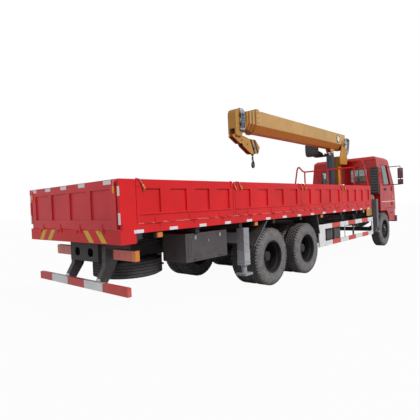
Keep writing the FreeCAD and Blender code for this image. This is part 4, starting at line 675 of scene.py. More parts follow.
def add_studs(form, centre, out, reach, ring=0.1475, count=10):
    for k in range(count):
        turn = 2 * math.pi * (k + 0.5) / count
        spot = Vector(centre) + Vector((ring * math.cos(turn), 0, ring * math.sin(turn)))
        form.rod(spot, spot + Vector((0, out * (reach + 0.006), 0)), 0.019, 16)
        form.rod(spot, spot + Vector((0, out * (reach + 0.030), 0)), 0.0155, 6)
        form.rod(spot, spot + Vector((0, out * (reach + 0.044), 0)), 0.0095, 10)


def add_hub(form, centre, out, start, end, radius=0.095):
    form.lathe("Y", [(radius + 0.022, start * out), (radius + 0.020, (start + 0.016) * out),
                     (radius, (start + 0.022) * out), (radius - 0.003, (end - 0.012) * out),
                     (radius - 0.014, end * out),
                     (0.030, end * out)], centre, 40)
    for k in range(8):
        turn = 2 * math.pi * k / 8
        spot = Vector(centre) + Vector(((radius - 0.022) * math.cos(turn), out * (end - 0.001),
                                        (radius - 0.022) * math.sin(turn)))
        form.bolt(spot - Vector((0, out * 0.007, 0)), (0, out, 0), 0.010, 0.005)


def dress_wheels():
    wheel, tread = [FINISHES["wheel_black"], FINISHES["grease_and_hub_shade"], FINISHES["grey_steel"]], [FINISHES["tyre"]]
    for side, hand in SIDES.items():
        for order, x in (("first", -1.05), ("second", -2.40)):
            form = Form()
            for half in (-1, 1):
                add_tyre(form, (x, hand * 0.93 + half * 0.16, 0.53))
            form.make(f"{order}_tyres_{side}_tread", f"{order}_wheels_{side}", tread, smooth=40,
                      replaces=[f"{order}_tyres_{side}"])
            form = Form()
            for half in (-1, 1):
                add_rim_ring(form, (x, hand * 0.93 + half * 0.16, 0.53), 0.105)
            disc = (x, hand * 0.93, 0.53)
            add_disc(form, disc, hand, face=0.0)
            form.lathe("Y", [(0.262, -0.07), (0.262, 0.07), (0.254, 0.07), (0.254, -0.07)], disc, 72, closed=True)
            # painted shade: the hub and drum take a near-black for the shade deep in the wheel's dish
            form.finish = 1
            add_hub(form, disc, hand, 0.015, 0.189)
            form.lathe("Y", [(0.05, hand * -0.10), (0.128, hand * -0.10), (0.128, hand * 0.02),
                             (0.05, hand * 0.02)], disc, 40, closed=True)
            form.finish = 2
            add_lip(form, (x, hand * 1.09, 0.53), hand)
            add_studs(form, disc, hand, 0.028)
            form.make(f"{order}_rims_{side}_pressed", f"{order}_wheels_{side}", wheel, smooth=32,
                      replaces=[f"{order}_rims_{side}"])
        centre = (4.25, hand * 1.06, 0.53)
        form = Form()
        add_tyre(form, centre)
        form.make(f"front_tyre_{side}_tread", f"front_wheel_{side}", tread, smooth=40,
                  replaces=[f"front_tyre_{side}"])
        form = Form()
        add_rim_ring(form, centre, 0.105)
        add_disc(form, centre, hand, face=0.062)
        # painted shade: the hub and drum take a near-black for the shade deep in the wheel's dish
        form.finish = 1
        add_hub(form, centre, hand, 0.080, 0.149)
        form.lathe("Y", [(0.05, hand * -0.058), (0.128, hand * -0.058), (0.128, hand * 0.07), (0.05, hand * 0.07)],
                   centre, 40, closed=True)
        form.finish = 2
        add_lip(form, centre, hand)
        add_studs(form, centre, hand, 0.090)
        form.make(f"front_rim_{side}_pressed", f"front_wheel_{side}", wheel, smooth=32,
                  replaces=[f"front_rim_{side}"])
    low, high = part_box("spare_tyre")
    form = Form()
    centre = [(a + b) / 2 for a, b in zip(low, high)]
    add_tyre(form, centre, axis="Z", blocks=0)
    for along in (-0.088, -0.044, 0.0, 0.044, 0.088):
        form.lathe("Z", [(0.505, along - 0.018), (TYRE_RADIUS, along - 0.017), (TYRE_RADIUS, along + 0.017),
                         (0.505, along + 0.018)],
                   centre, 72, closed=True)
    form.make("spare_tyre_tread", "chassis", [FINISHES["spare_rubber"]], smooth=40, replaces=["spare_tyre"])


# Load bed

GATE_ENDS = [-5.46, -3.52, -1.29, 0.80, 2.841]


def dress_bed(sizes):
    red = FINISHES["red_paint"]
    # the tailgate wears the paler red of the painted shade on the rear
    for node, finish in (("bed", "bed_red"), ("tailgate", "tail_shade_red"), ("headboard", "red_paint")):
        softened(node, FINISHES[finish], sizes.edge_round)
    for side in SIDES:
        for number in range(1, 5):
            softened(f"gate_{side}_{number}", red, sizes.edge_round)
    for side, hand in SIDES.items():
        add_latches(side, hand)
        add_sill_marks(side, hand)
    add_tail_marks()


def add_lever(form, x, y, z, lean_x, lean_y):
    """A plated toggle lever with a yellow grip, hooked over the top of a gate."""
    tip = Vector((x + lean_x, y + lean_y, z - 0.135))
    bend = Vector((x + lean_x * 0.22, y + lean_y, z - 0.012))
    form.finish = 1
    form.tube([(x - lean_x * 0.15, y - lean_y * 0.2, z - 0.030), (x - lean_x * 0.10, y, z + 0.002), bend,
               bend.lerp(tip, 0.58)],
              [0.009, 0.009, 0.010, 0.008], 10)
    form.finish = 2
    form.tube([bend.lerp(tip, 0.52), bend.lerp(tip, 0.60), bend.lerp(tip, 0.92), tip],
              [0.010, 0.015, 0.014, 0.008], 12)


def add_latches(side, hand):
    """Toggle levers, catches, a lip rod and hinge straps with pins along one side of the bed."""
    finishes = [FINISHES["red_paint"], FINISHES["zinc"], FINISHES["yellow_grip"]]
    for number, (start, end) in enumerate(zip(GATE_ENDS, GATE_ENDS[1:]), 1):
        form = Form()
        for x in (start + (0.03 if number == 1 else 0.10), end - 0.055):
            if x > 2.7:
                continue
            add_lever(form, x, hand * 1.236, 1.898, 0.105, hand * 0.030)
            form.finish = 0
            form.box((x - 0.030, hand * 1.249, 1.800), (x + 0.030, hand * 1.258, 1.865))
        form.finish = 0
        form.rod((start + 0.06, hand * 1.2545, 1.452), (end - 0.06, hand * 1.2545, 1.452), 0.009, 12)
        for x in (start + 0.17, (start + end) / 2 - 0.4, (start + end) / 2 + 0.4, end - 0.17):
            form.box((x - 0.065, hand * 1.2495, 1.352), (x + 0.065, hand * 1.2565, 1.372))
            form.rod((x - 0.06, hand * 1.262, 1.345), (x + 0.06, hand * 1.262, 1.345), 0.0095, 12)
        form.make(f"gate_{side}_{number}_levers", f"gate_{side}_{number}", finishes, bevel=0.0015)


def add_sill_marks(side, hand):
    """White reflective squares and amber lamps along the sill."""
    form = Form()
    for k in range(15):
        x = -5.51 + k * 0.578
        form.box((x, hand * 1.2495, 1.222), (x + 0.148, hand * 1.2515, 1.264))
    form.finish = 1
    form.rod((-5.44, hand * 1.2525, 1.338), (2.84, hand * 1.2525, 1.338), 0.008, 12)
    form.make(f"sill_reflectors_{side}", "chassis", [FINISHES["white_tape"], FINISHES["red_paint"]], bevel=0.0004)
    form = Form()
    for x in (-5.12, -2.93, -0.35, 2.30):
        form.finish = 1
        form.box((x - 0.008, hand * 1.150, 1.135), (x + 0.092, hand * 1.200, 1.2195))
        form.finish = 0
        form.box((x, hand * 1.195, 1.140), (x + 0.084, hand * 1.225, 1.205))
        form.finish = 2
        for spot in (x + 0.012, x + 0.072):
            form.bolt((spot, hand * 1.224, 1.1725), (0, hand, 0), 0.004, 0.0015)
    form.make(f"side_lamps_{side}", "chassis", [FINISHES["amber_lens"], FINISHES["black_plastic"],
                                                FINISHES["zinc"]], bevel=0.004)


def add_tail_marks():
    """Levers and catches at the top corners of the tailgate."""
    form = Form()
    for hand in (1, -1):
        form.finish = 1
        form.tube([(-5.672, hand * 1.130, 1.885), (-5.694, hand * 1.146, 1.880), (-5.706, hand * 1.150, 1.860),
                   (-5.708, hand * 1.143, 1.800)], [0.009, 0.009, 0.010, 0.008], 10)
        form.finish = 2
        form.tube([(-5.708, hand * 1.143, 1.805), (-5.708, hand * 1.142, 1.795), (-5.706, hand * 1.138, 1.725),
                   (-5.705, hand * 1.138, 1.715)], [0.010, 0.015, 0.014, 0.008], 12)
        form.finish = 0
        form.box((-5.7085, hand * 1.115, 1.800), (-5.699, hand * 1.165, 1.865))
    form.make("tail_levers", "tailgate", [FINISHES["red_paint"], FINISHES["zinc"], FINISHES["yellow_grip"]],
              bevel=0.0015)


# Rear lamps, guards and chassis

def dress_chassis():
    black = FINISHES["chassis_black"]
    for node, finish, width in (("chassis_frame", "chassis_black", 0.004),
                                ("axles_and_springs", "chassis_black", 0.003),
                                ("engine_and_shaft", "grease_and_hub_shade", 0.004),
                                ("tanks_and_toolbox", "tank_grey", 0.012),
                                ("guards", "guard_white", 0.003), ("mud_flaps", "flap_black", 0.003),
                                ("spare_carrier", "chassis_black", 0.003), ("front_bumper", "grey_plastic", 0.012),
                                ("rear_outrigger_legs", "leg_grey", 0.004), ("jack_rear_left", "leg_grey", 0.003),
                                ("jack_rear_right", "leg_grey", 0.003), ("jack_front_left", "leg_dark", 0.003),
                                ("jack_front_right", "leg_dark", 0.003), ("outrigger_left", "beam_paint", 0.004),
                                ("outrigger_right", "beam_paint", 0.004), ("crane_base", "chassis_black", 0.005),
                                ("knuckle_left", "grease_and_hub_shade", 0.002), ("knuckle_right", "grease_and_hub_shade", 0.002)):
        softened(node, FINISHES[finish], width)
    form = Form()
    form.finish = 0
    for hand in (1, -1):
        axle = -1.725
        for leaf in range(7):
            reach = 0.60 - leaf * 0.066
            z = 0.690 - leaf * 0.0145
            form.box((axle - reach, hand * 0.392, z - 0.012), (axle + reach, hand * 0.468, z))
        for leaf in range(6):
            reach = 0.66 - leaf * 0.085
            z = 0.705 - leaf * 0.013
            form.box((4.25 - reach, hand * 0.394, z - 0.011), (4.25 + reach, hand * 0.466, z))
    form.finish = 1
    for hand in (1, -1):
        for x in (-5.0, -4.2, -3.5, -0.2, 0.6, 1.4, 2.2):
            for z in (0.86, 0.93, 1.0):
                form.bolt((x, hand * 0.3795, z), (0, hand, 0), 0.011, 0.008)
    form.make("spring_leaves", "chassis", [black, FINISHES["grey_steel"]], bevel=0.0012, segments=1)
    add_box_trim()
    add_leg_sleeves()
    add_pipes()


def add_box_trim():
    """Doors, hinges, catches and straps on the toolbox and the tanks."""
    form = Form()
    x0, x1, z0, z1 = -4.50, -3.67, 0.75, 1.09
    for hand, y in ((-1, -1.1498),):
        form.finish = 0
        form.prism("XZ", [(x0, z0), (x1, z0), (x1, z1), (x0, z1)], (y, y - 0.006))
        form.prism("XZ", [(x0 + 0.05, z0 + 0.05), (x1 - 0.05, z0 + 0.05), (x1 - 0.05, z1 - 0.05),
                          (x0 + 0.05, z1 - 0.05)],
                   (y - 0.005, y - 0.010))
        form.finish = 1
        for x in (x0 + 0.14, x1 - 0.14):
            form.rod((x - 0.04, y - 0.010, z0 + 0.004), (x + 0.04, y - 0.010, z0 + 0.004), 0.009, 12)
            form.box((x - 0.022, y - 0.016, z1 - 0.055), (x + 0.022, y - 0.004, z1 + 0.005))
        form.bolt(((x0 + x1) / 2, y - 0.009, z1 - 0.09), (0, hand, 0), 0.020, 0.010)
    form.make("toolbox_door", "chassis", [FINISHES["tank_grey"], FINISHES["zinc"]], bevel=0.003)
    form = Form()
    for hand, start, end in ((1, 0.15, 1.55), (-1, 0.15, 1.55)):
        for x in (start + 0.25, end - 0.35):
            form.box((x, hand * 1.1185, 0.512), (x + 0.045, hand * 1.1235, 0.905))
            form.bolt((x + 0.022, hand * 1.123, 0.86), (0, hand, 0), 0.012, 0.01)
    form.make("tank_straps", "chassis", [FINISHES["zinc"]], bevel=0.002)


def add_leg_sleeves():
    """Bright lower sleeves with bands and bolts on the fixed rear legs."""
    form = Form()
    for hand in (1, -1):
        x, y = -3.195, hand * 1.15
        form.box((x - 0.0785, y - 0.0785, 0.492), (x + 0.0785, y + 0.0785, 0.742))
        form.finish = 1
        for z in (0.500, 0.545, 0.715):
            form.box((x - 0.083, y - 0.083, z), (x + 0.083, y + 0.083, z + 0.018))
        for z in (0.86, 0.98):
            form.bolt((x - 0.0748, y, z), (-1, 0, 0), 0.014, 0.010)
            form.bolt((x, y + hand * 0.0748, z), (0, hand, 0), 0.014, 0.010)
        form.finish = 0
    form.make("leg_sleeves", "chassis", [FINISHES["leg_light"], FINISHES["zinc"]], bevel=0.004)


def add_pipes():
    """Air hoses and wiring under the bed, and clips along the frame."""
    form = Form()
    for hand in (1, -1):
        for k, (y, z) in enumerate(((0.405, 1.035), (0.405, 1.010), (0.405, 0.985))):
            form.tube([(x, hand * (y + 0.004 * math.sin(3.1 * x + k)), z + 0.006 * math.sin(2.3 * x + k * 2))
                       for x in [(-5.3 + 0.29 * i) for i in range(27)]], 0.0085 - 0.001 * k, 8)
    form.make("frame_pipes", "chassis", [FINISHES["hose"]])
    form = Form()
    for hand in (1, -1):
        for x in (0.05, 1.7, 2.9):
            form.rod((x - 0.02, hand * 0.46, 1.09), (x - 0.02, hand * 0.40, 1.09), 0.012, 10)
    form.make("pipe_clips", "chassis", [FINISHES["zinc"]])


def dress_lamps():
    form = Form()
    for hand in (1, -1):
        form.finish = 2
        form.box((-5.362, hand * 0.56, 0.836), (-5.302, hand * 1.052, 0.984))
        form.box((-5.30, hand * 0.60, 0.86), (-5.262, hand * 1.0, 0.96))
        for start, end, finish in ((0.566, 0.700, 0), (0.704, 0.838, 0), (0.842, 0.976, 0), (0.980, 1.0598, 1)):
            form.finish = finish
            form.box((-5.3695, hand * start, 0.842), (-5.300 if finish else -5.352, hand * end, 0.978))
        form.finish = 3
        for y in (0.572, 1.050):
            form.bolt((-5.3690, hand * y, 0.910), (-1, 0, 0), 0.004, 0.0006)
    for hand in (1, -1):
        form.finish = 2
        form.box((5.632, hand * 0.632, 0.742), (5.672, hand * 0.928, 0.868))
        form.finish = 4
        form.box((5.665, hand * 0.640, 0.750), (5.709, hand * 0.850, 0.860))
        form.finish = 1
        form.box((5.665, hand * 0.856, 0.750), (5.706, hand * 0.921, 0.860))
    form.make("lamp_lenses", "chassis", [FINISHES["red_lens"], FINISHES["amber_lens"], FINISHES["black_plastic"],
                                         FINISHES["zinc"],
              FINISHES["clear_lens"]], bevel=0.004, replaces=["lamps"])


# Crane

def dress_crane(sizes):
    for node, finish, width in (("crane_column", "column_paint", 0.005), ("boom_base", "crane_yellow", 0.005),
                                ("boom_second", "crane_yellow", 0.003), ("boom_third", "crane_yellow", 0.003),
                                ("boom_tip", "head_yellow", 0.005), ("lift_barrel", "cylinder_grey", 0.003),
                                ("lift_ram", "ram_steel", 0.002)):
        softened(node, FINISHES[finish], width)
    add_boom_trim()
    add_hook()
    add_seat()
    add_hoses()


def add_boom_trim():
    form = Form()
    metal = [FINISHES["crane_yellow"], FINISHES["grey_steel"], FINISHES["white_paint"], FINISHES["black_plastic"],
             FINISHES["fitting_blue"]]
    for hand in (1, -1):
        form.finish = 1
        form.lathe("Y", [(0.085, 0), (0.085, hand * 0.018), (0.070, hand * 0.024)],
                   (3.62, hand * 0.225, 3.30), 40)
        for k in range(6):
            turn = math.pi * k / 3
            form.bolt((3.62 + 0.062 * math.cos(turn), hand * 0.247, 3.30 + 0.062 * math.sin(turn)), (0, hand, 0),
                      0.010, 0.006)
        form.finish = 0
        for k in range(7):
            x = -1.0 + k * 0.72
            form.box((x - 0.02, hand * 0.189, 3.565), (x + 0.02, hand * 0.1935, 3.600))
        form.finish = 1
        for x in (-1.245, -1.195):
            for z in (3.34, 3.45, 3.56):
                form.bolt((x, hand * 0.2110, z), (0, hand, 0), 0.012, 0.008)
    form.finish = 2
    form.lathe("Y", [(0.010, -0.001), (0.105, -0.001), (0.108, -0.006), (0.098, -0.014), (0.010, -0.014)],
               (3.25, -0.19, 3.45), 48)
    form.finish = 3
    form.lathe("Y", [(0.099, -0.006), (0.1125, -0.006), (0.1125, -0.018), (0.099, -0.018)], (3.25, -0.19, 3.45),
               48, closed=True)
    form.rod((3.25, -0.205, 3.45), (3.25, -0.205, 3.525), 0.005, 8)
    for k in range(9):
        turn = math.radians(-30 + 30 * k)
        form.rod((3.25 + 0.078 * math.cos(turn), -0.2045, 3.45 + 0.078 * math.sin(turn)),
                 (3.25 + 0.092 * math.cos(turn), -0.2045, 3.45 + 0.092 * math.sin(turn)), 0.0025, 6)
    form.make("boom_fittings", "boom_base", metal, bevel=0.0015)


CHEEK = [(-1.97, 2.98), (-1.89, 3.055), (-1.84, 3.08), (-1.78, 3.06), (-1.36, 2.98), (-1.14, 2.98), (-0.97, 2.82),
         (-1.05, 2.67), (-1.31, 2.65), (-1.60, 2.80), (-1.64, 2.86), (-1.72, 2.85)]
HOOK_LINE = [(0.0, 0.270, 0.021), (0.0, 0.190, 0.022), (0.018, 0.160, 0.024), (0.050, 0.132, 0.027),
             (0.068, 0.095, 0.030),
             (0.062, 0.055, 0.033), (0.030, 0.030, 0.033), (-0.010, 0.030, 0.030), (-0.045, 0.048, 0.025),
             (-0.068, 0.080, 0.019), (-0.078, 0.118, 0.010)]


def add_hook():
    """Cheeks with dark warning bands, stiffened edges, sheaves, pins and a forged hook."""
    form = Form()
    for hand in (1, -1):
        form.finish = 0
        form.prism("XZ", CHEEK, (hand * 0.053, hand * 0.065))
        form.prism("XZ", [(-1.95, 2.985), (-1.885, 3.045), (-1.79, 3.045), (-1.70, 2.965), (-1.76, 2.90)],
                   (hand * 0.0645, hand * 0.0685))
        for start, end in zip(CHEEK[3:8], CHEEK[4:9]):
            inset = [(x * 0.985 - 0.0195, z * 0.985 + 0.0425) for x, z in (end, start)]
            form.prism("XZ", [start, end, *inset], (hand * 0.0645, hand * 0.0705))
        form.finish = 1
        for x, z, radius in ((-1.84, 3.03, 0.042), (-1.18, 2.80, 0.040), (-1.45, 2.86, 0.018),
                             (-1.66, 2.93, 0.018)):
            form.rod((x, hand * 0.064, z), (x, hand * 0.082, z), radius, 24, radius * 0.9)
            form.bolt((x, hand * 0.081, z), (0, hand, 0), radius * 0.4, 0.008)
    form.finish = 0
    form.prism("XZ", [(-1.78, 2.985), (-1.765, 3.0), (-1.36, 2.965), (-1.14, 2.965), (-1.14, 2.945),
                      (-1.37, 2.945)], (-0.0635, 0.0635))
    form.prism("XZ", [(-1.95, 2.975), (-1.70, 2.87), (-1.68, 2.885), (-1.93, 2.995)], (-0.0635, 0.0635))
    form.prism("XZ", [(-1.59, 2.815), (-1.33, 2.665), (-1.32, 2.685), (-1.575, 2.83)], (-0.0635, 0.0635))
    form.finish = 1
    for y in (-0.026, 0.026):
        for x, z, radius in ((-1.18, 2.80, 0.110), (-1.50, 2.90, 0.060)):
            form.lathe("Y", [(0.018, -0.020), (0.018, 0.020), (radius, 0.020), (radius, 0.014),
                             (radius - 0.016, 0.006),
                             (radius - 0.016, -0.006), (radius, -0.014), (radius, -0.020)], (x, y, z), 40,
                             closed=True)
    form.finish = 2
    for y in (-0.026, 0.026):
        form.lathe("Y", [(0.092, -0.007), (0.100, -0.009), (0.107, -0.004), (0.107, 0.004), (0.100, 0.009),
                         (0.092, 0.007)],
                   (-1.18, y, 2.80), 48, closed=True)
    form.finish = 3
    form.box((-1.225, -0.052, 2.662), (-1.135, 0.052, 2.720))
    form.rod((-1.18, 0, 2.665), (-1.18, 0, 2.622), 0.034, 24, 0.026)
    turn = Vector((math.cos(0.35), math.sin(0.35), 0))
    line = [(Vector((-1.18, 0, 2.34 + z)) + turn * u, radius) for u, z, radius in HOOK_LINE]
    form.tube([spot for spot, _ in line], [radius for _, radius in line], 20)
    form.finish = 4
    form.tube([Vector((-1.18, 0, 2.525)) + turn * -0.018, Vector((-1.18, 0, 2.500)) + turn * -0.036,
               Vector((-1.18, 0, 2.455)) + turn * -0.066], [0.010, 0.0085, 0.007], 10)
    form.make("hook_block_dressed", "hook_block", [FINISHES["hook_yellow"], FINISHES["grey_steel"],
                                                   FINISHES["rope"],
              FINISHES["forged"], FINISHES["zinc"]], bevel=0.0022, replaces=["hook_block"])


def cushion(name, body, low, high, finish, crown, seams, axis=2):
    """A stuffed pad: a crowned closed form with pulled-in sides and sewn channels across it."""
    form = Form()
    across, along = [i for i in range(3) if i != axis]
    nu, nv = 24, 28
    span = [h - l for l, h in zip(low, high)]
    grids = []
    for top in (1, 0):
        grid = []
        for i in range(nu + 1):
            for j in range(nv + 1):
                u, v = i / nu * 2 - 1, j / nv * 2 - 1
                edge = (1 - abs(u) ** 5) * (1 - abs(v) ** 5)
                swell = max(0.0, edge) ** 0.5
                groove = max(0.0, 1 - min(abs(v - seam) for seam in seams) / 0.07) if seams else 0.0
                pull = 0.035 * (abs(u) ** 3 * (1 - v * v) + abs(v) ** 3 * (1 - u * u))
                spot = [0.0, 0.0, 0.0]
                spot[across] = low[across] + span[across] * (0.5 + 0.5 * u * (1 - pull))
                spot[along] = low[along] + span[along] * (0.5 + 0.5 * v * (1 - pull))
                middle = low[axis] + span[axis] * 0.42
                rise = span[axis] * (0.58 if top else -0.42) * (crown * swell + (1 - crown) * min(1.0, 3 * swell))
                spot[axis] = middle + rise * (1 - 0.30 * groove * swell * top)
                grid.append(tuple(spot))
        grids.append(grid)
    faces = []
    row = nv + 1
    for i in range(nu):
        for j in range(nv):
            a = i * row + j
            faces.append((a, a + 1, a + row + 1, a + row))
    form.add(grids[0], faces)
    form.add(grids[1], faces)
    piece = form.make(name, body, [finish], smooth=80)
    work = bmesh.new()
    work.from_mesh(piece.data)
    bmesh.ops.remove_doubles(work, verts=work.verts, dist=0.0008)
    bmesh.ops.recalc_face_normals(work, faces=work.faces)
    work.to_mesh(piece.data)
    work.free()
    return piece


def add_seat():
    """The operator's high seat: a moulded bucket on a bracket, with a padded base and back."""
    form = Form()
    line = [(2.850, 3.325), (2.845, 3.20), (2.850, 3.08), (2.880, 2.99), (2.950, 2.958), (3.10, 2.960),
            (3.285, 2.985)]
    for start, end in ((0.295, 0.745),):
        rings = []
        for x, z in line:
            rings.append((x, z))
        inner = [(2.872, 3.318), (2.866, 3.20), (2.871, 3.09), (2.896, 3.010), (2.955, 2.980), (3.10, 2.981),
                 (3.285, 3.003)]
        form.prism("XZ", rings + inner[::-1], (start, end))
        for y in (start, end - 0.018):
            form.prism("XZ", [(2.850, 3.10), (2.880, 2.99), (2.950, 2.958), (3.10, 2.960), (3.24, 2.98),
                              (3.16, 3.05), (2.97, 3.09)],
                       (y, y + 0.018))
    form.finish = 1
    form.prism("XZ", [(3.06, 2.935), (3.29, 2.935), (3.29, 2.958), (3.06, 2.958)], (0.19, 0.56))
    form.box((3.10, 0.178, 2.93), (3.36, 0.216, 3.02))
    form.tube([(2.862, 0.30, 3.31), (2.850, 0.33, 3.332), (2.850, 0.71, 3.332), (2.862, 0.74, 3.31)], 0.010, 10)
    for y in (0.33, 0.50):
        form.bolt((3.20, y, 2.934), (0, 0, -1), 0.012, 0.008)
    form.make("operator_seat_shell", "crane_column", [FINISHES["black_plastic"], FINISHES["chassis_black"]],
              bevel=0.005,
              replaces=["operator_seat"])
    cushion("operator_seat_base", "crane_column", (2.925, 0.325, 2.984), (3.275, 0.715, 3.060),
            FINISHES["seat_cloth"], 0.55, (-0.35, 0.35))
    cushion("operator_seat_back", "crane_column", (2.869, 0.325, 3.065), (2.940, 0.715, 3.312),
            FINISHES["seat_cloth"], 0.55, (-0.35, 0.35), axis=0)


def add_hoses():
    """Clamped pipes and hoses at the boom head and behind the boom root."""
    form = Form()
    for k in range(6):
        x = -1.765 + 0.026 * k
        wave = 0.012 * math.sin(k * 2.1)
        form.finish = k % 2
        form.tube([(x, -0.118, 3.600), (x + wave, -0.140, 3.52), (x - wave, -0.148, 3.42), (x + wave, -0.142, 3.33),
                   (x + 0.012, -0.146, 3.24), (x - 0.008, -0.138, 3.17), (x + 0.01, -0.118, 3.11)], 0.0125, 10)
        form.finish = 2
        for z in (3.565, 3.375 + 0.02 * (k % 3), 3.19 + 0.015 * (k % 2)):
            form.rod((x, -0.130, z), (x, -0.136, z - 0.045), 0.017, 6)
            form.rod((x, -0.130, z + 0.012), (x, -0.138, z - 0.058), 0.0145, 12)
    form.finish = 3
    for z in (3.47, 3.28):
        form.box((-1.785, -0.166, z), (-1.615, -0.158, z + 0.030))
        form.box((-1.785, -0.160, z), (-1.777, -0.108, z + 0.030))
        form.box((-1.623, -0.160, z), (-1.615, -0.108, z + 0.030))
    form.make("head_hoses", "boom_tip", [FINISHES["hose"], FINISHES["fitting_blue"], FINISHES["zinc"],
                                         FINISHES["grey_steel"]])
    form = Form()
    for k in range(3):
        d = 0.028 * k
        form.finish = 0
        form.tube([(3.66, -0.262 + d, 3.34 + d), (3.76, -0.270 + d, 3.43 + d), (3.88, -0.266 + d, 3.490 + d * 0.5),
                   (3.99, -0.250 + d, 3.475),
                   (4.05 - d * 0.4, -0.225 + d, 3.38), (4.070 - d * 0.4, -0.200 + d, 3.22),
                   (4.045 - d, -0.180 + d, 3.05),
                   (3.96 - d, -0.165 + d, 2.965), (3.84, -0.155 + d, 2.94)], 0.0125, 12)
        form.finish = 1
        for start, end in (((3.62, -0.262 + d, 3.305 + d), (3.665, -0.262 + d, 3.345 + d)),
                           ((3.79, -0.152 + d, 2.938), (3.845, -0.155 + d, 2.94))):
            form.rod(start, end, 0.019, 6)
    form.finish = 2
    form.box((3.60, -0.29, 3.27), (3.66, -0.225, 3.33))
    form.box((3.74, -0.175, 2.90), (3.80, -0.08, 2.975))
    form.make("root_pipes", "crane_column", [FINISHES["hose"], FINISHES["zinc"], FINISHES["grey_steel"]], smooth=45)
    form = Form()
    for k, y in enumerate((-0.112, -0.086, 0.086, 0.112)):
        form.tube([(3.566, y, 1.74), (3.572, y, 1.95), (3.572, y, 2.40), (3.572, y, 2.62)], 0.0095, 10)
    for z in (1.9, 2.15, 2.4):
        form.finish = 1
        for hand in (1, -1):
            form.box((3.560, hand * 0.072, z), (3.586, hand * 0.126, z + 0.022))
    form.make("column_pipes", "crane_column", [FINISHES["grey_steel"], FINISHES["zinc"]], bevel=0.001)


# Cab

def side_at(z):
    """How far out the cab's side lies at a height."""
    return 1.15 if z < 1.90 else 1.15 - (z - 1.90) * 0.11 / 0.91


def dress_cab():
    for node, finish, width in (("cab_shell", "cab_red", 0.010), ("door_left", "cab_red", 0.006),
                                ("door_right", "cab_red", 0.006),
                                ("mirrors", "mirror_red", 0.010), ("air_intake", "black_plastic", 0.020),
                                ("cab_interior", "grey_plastic", 0.010)):
        softened(node, FINISHES[finish], width)
    for slot in frame["nodes"]["cab_glass"].material_slots:
        slot.material = FINISHES["window_glass"]
    for side, hand in SIDES.items():
        add_door_trim(side, hand)
    add_cab_trim()
    add_cab_inside()


def add_door_trim(side, hand):
    """Window seal, lower seal, handle, lock and inner panel of one door."""
    form = Form()
    outline = [(4.463, 1.952), (5.157, 1.952), (5.082, 2.608), (4.463, 2.608)]
    form.tube([(x, hand * (side_at(z) + 0.0015), z) for x, z in outline], 0.0085, 8, closed=True)
    form.tube([(4.40, hand * (side_at(1.19) + 0.001), 1.19), (5.225, hand * (side_at(1.19) + 0.001), 1.19)], 0.006,
              8)
    form.finish = 1
    form.box((4.455, hand * 1.148, 1.752), (4.650, hand * 1.156, 1.842))
    form.tube([(4.475, hand * 1.156, 1.805), (4.492, hand * 1.184, 1.808), (4.610, hand * 1.184, 1.812),
               (4.630, hand * 1.156, 1.812)],
              0.0115, 12)
    form.rod((4.47, hand * 1.154, 1.768), (4.47, hand * 1.159, 1.768), 0.009, 16)
    form.finish = 2
    form.tube([(5.10, hand * 1.105, 1.30), (5.10, hand * 1.105, 1.62)], 0.010, 10)
    form.box((4.46, hand * 1.088, 1.24), (5.16, hand * 1.0985, 1.86))
    form.make(f"door_{side}_trim", f"door_{side}", [FINISHES["hose"], FINISHES["black_plastic"],
                                                    FINISHES["grey_plastic"]], bevel=0.003)


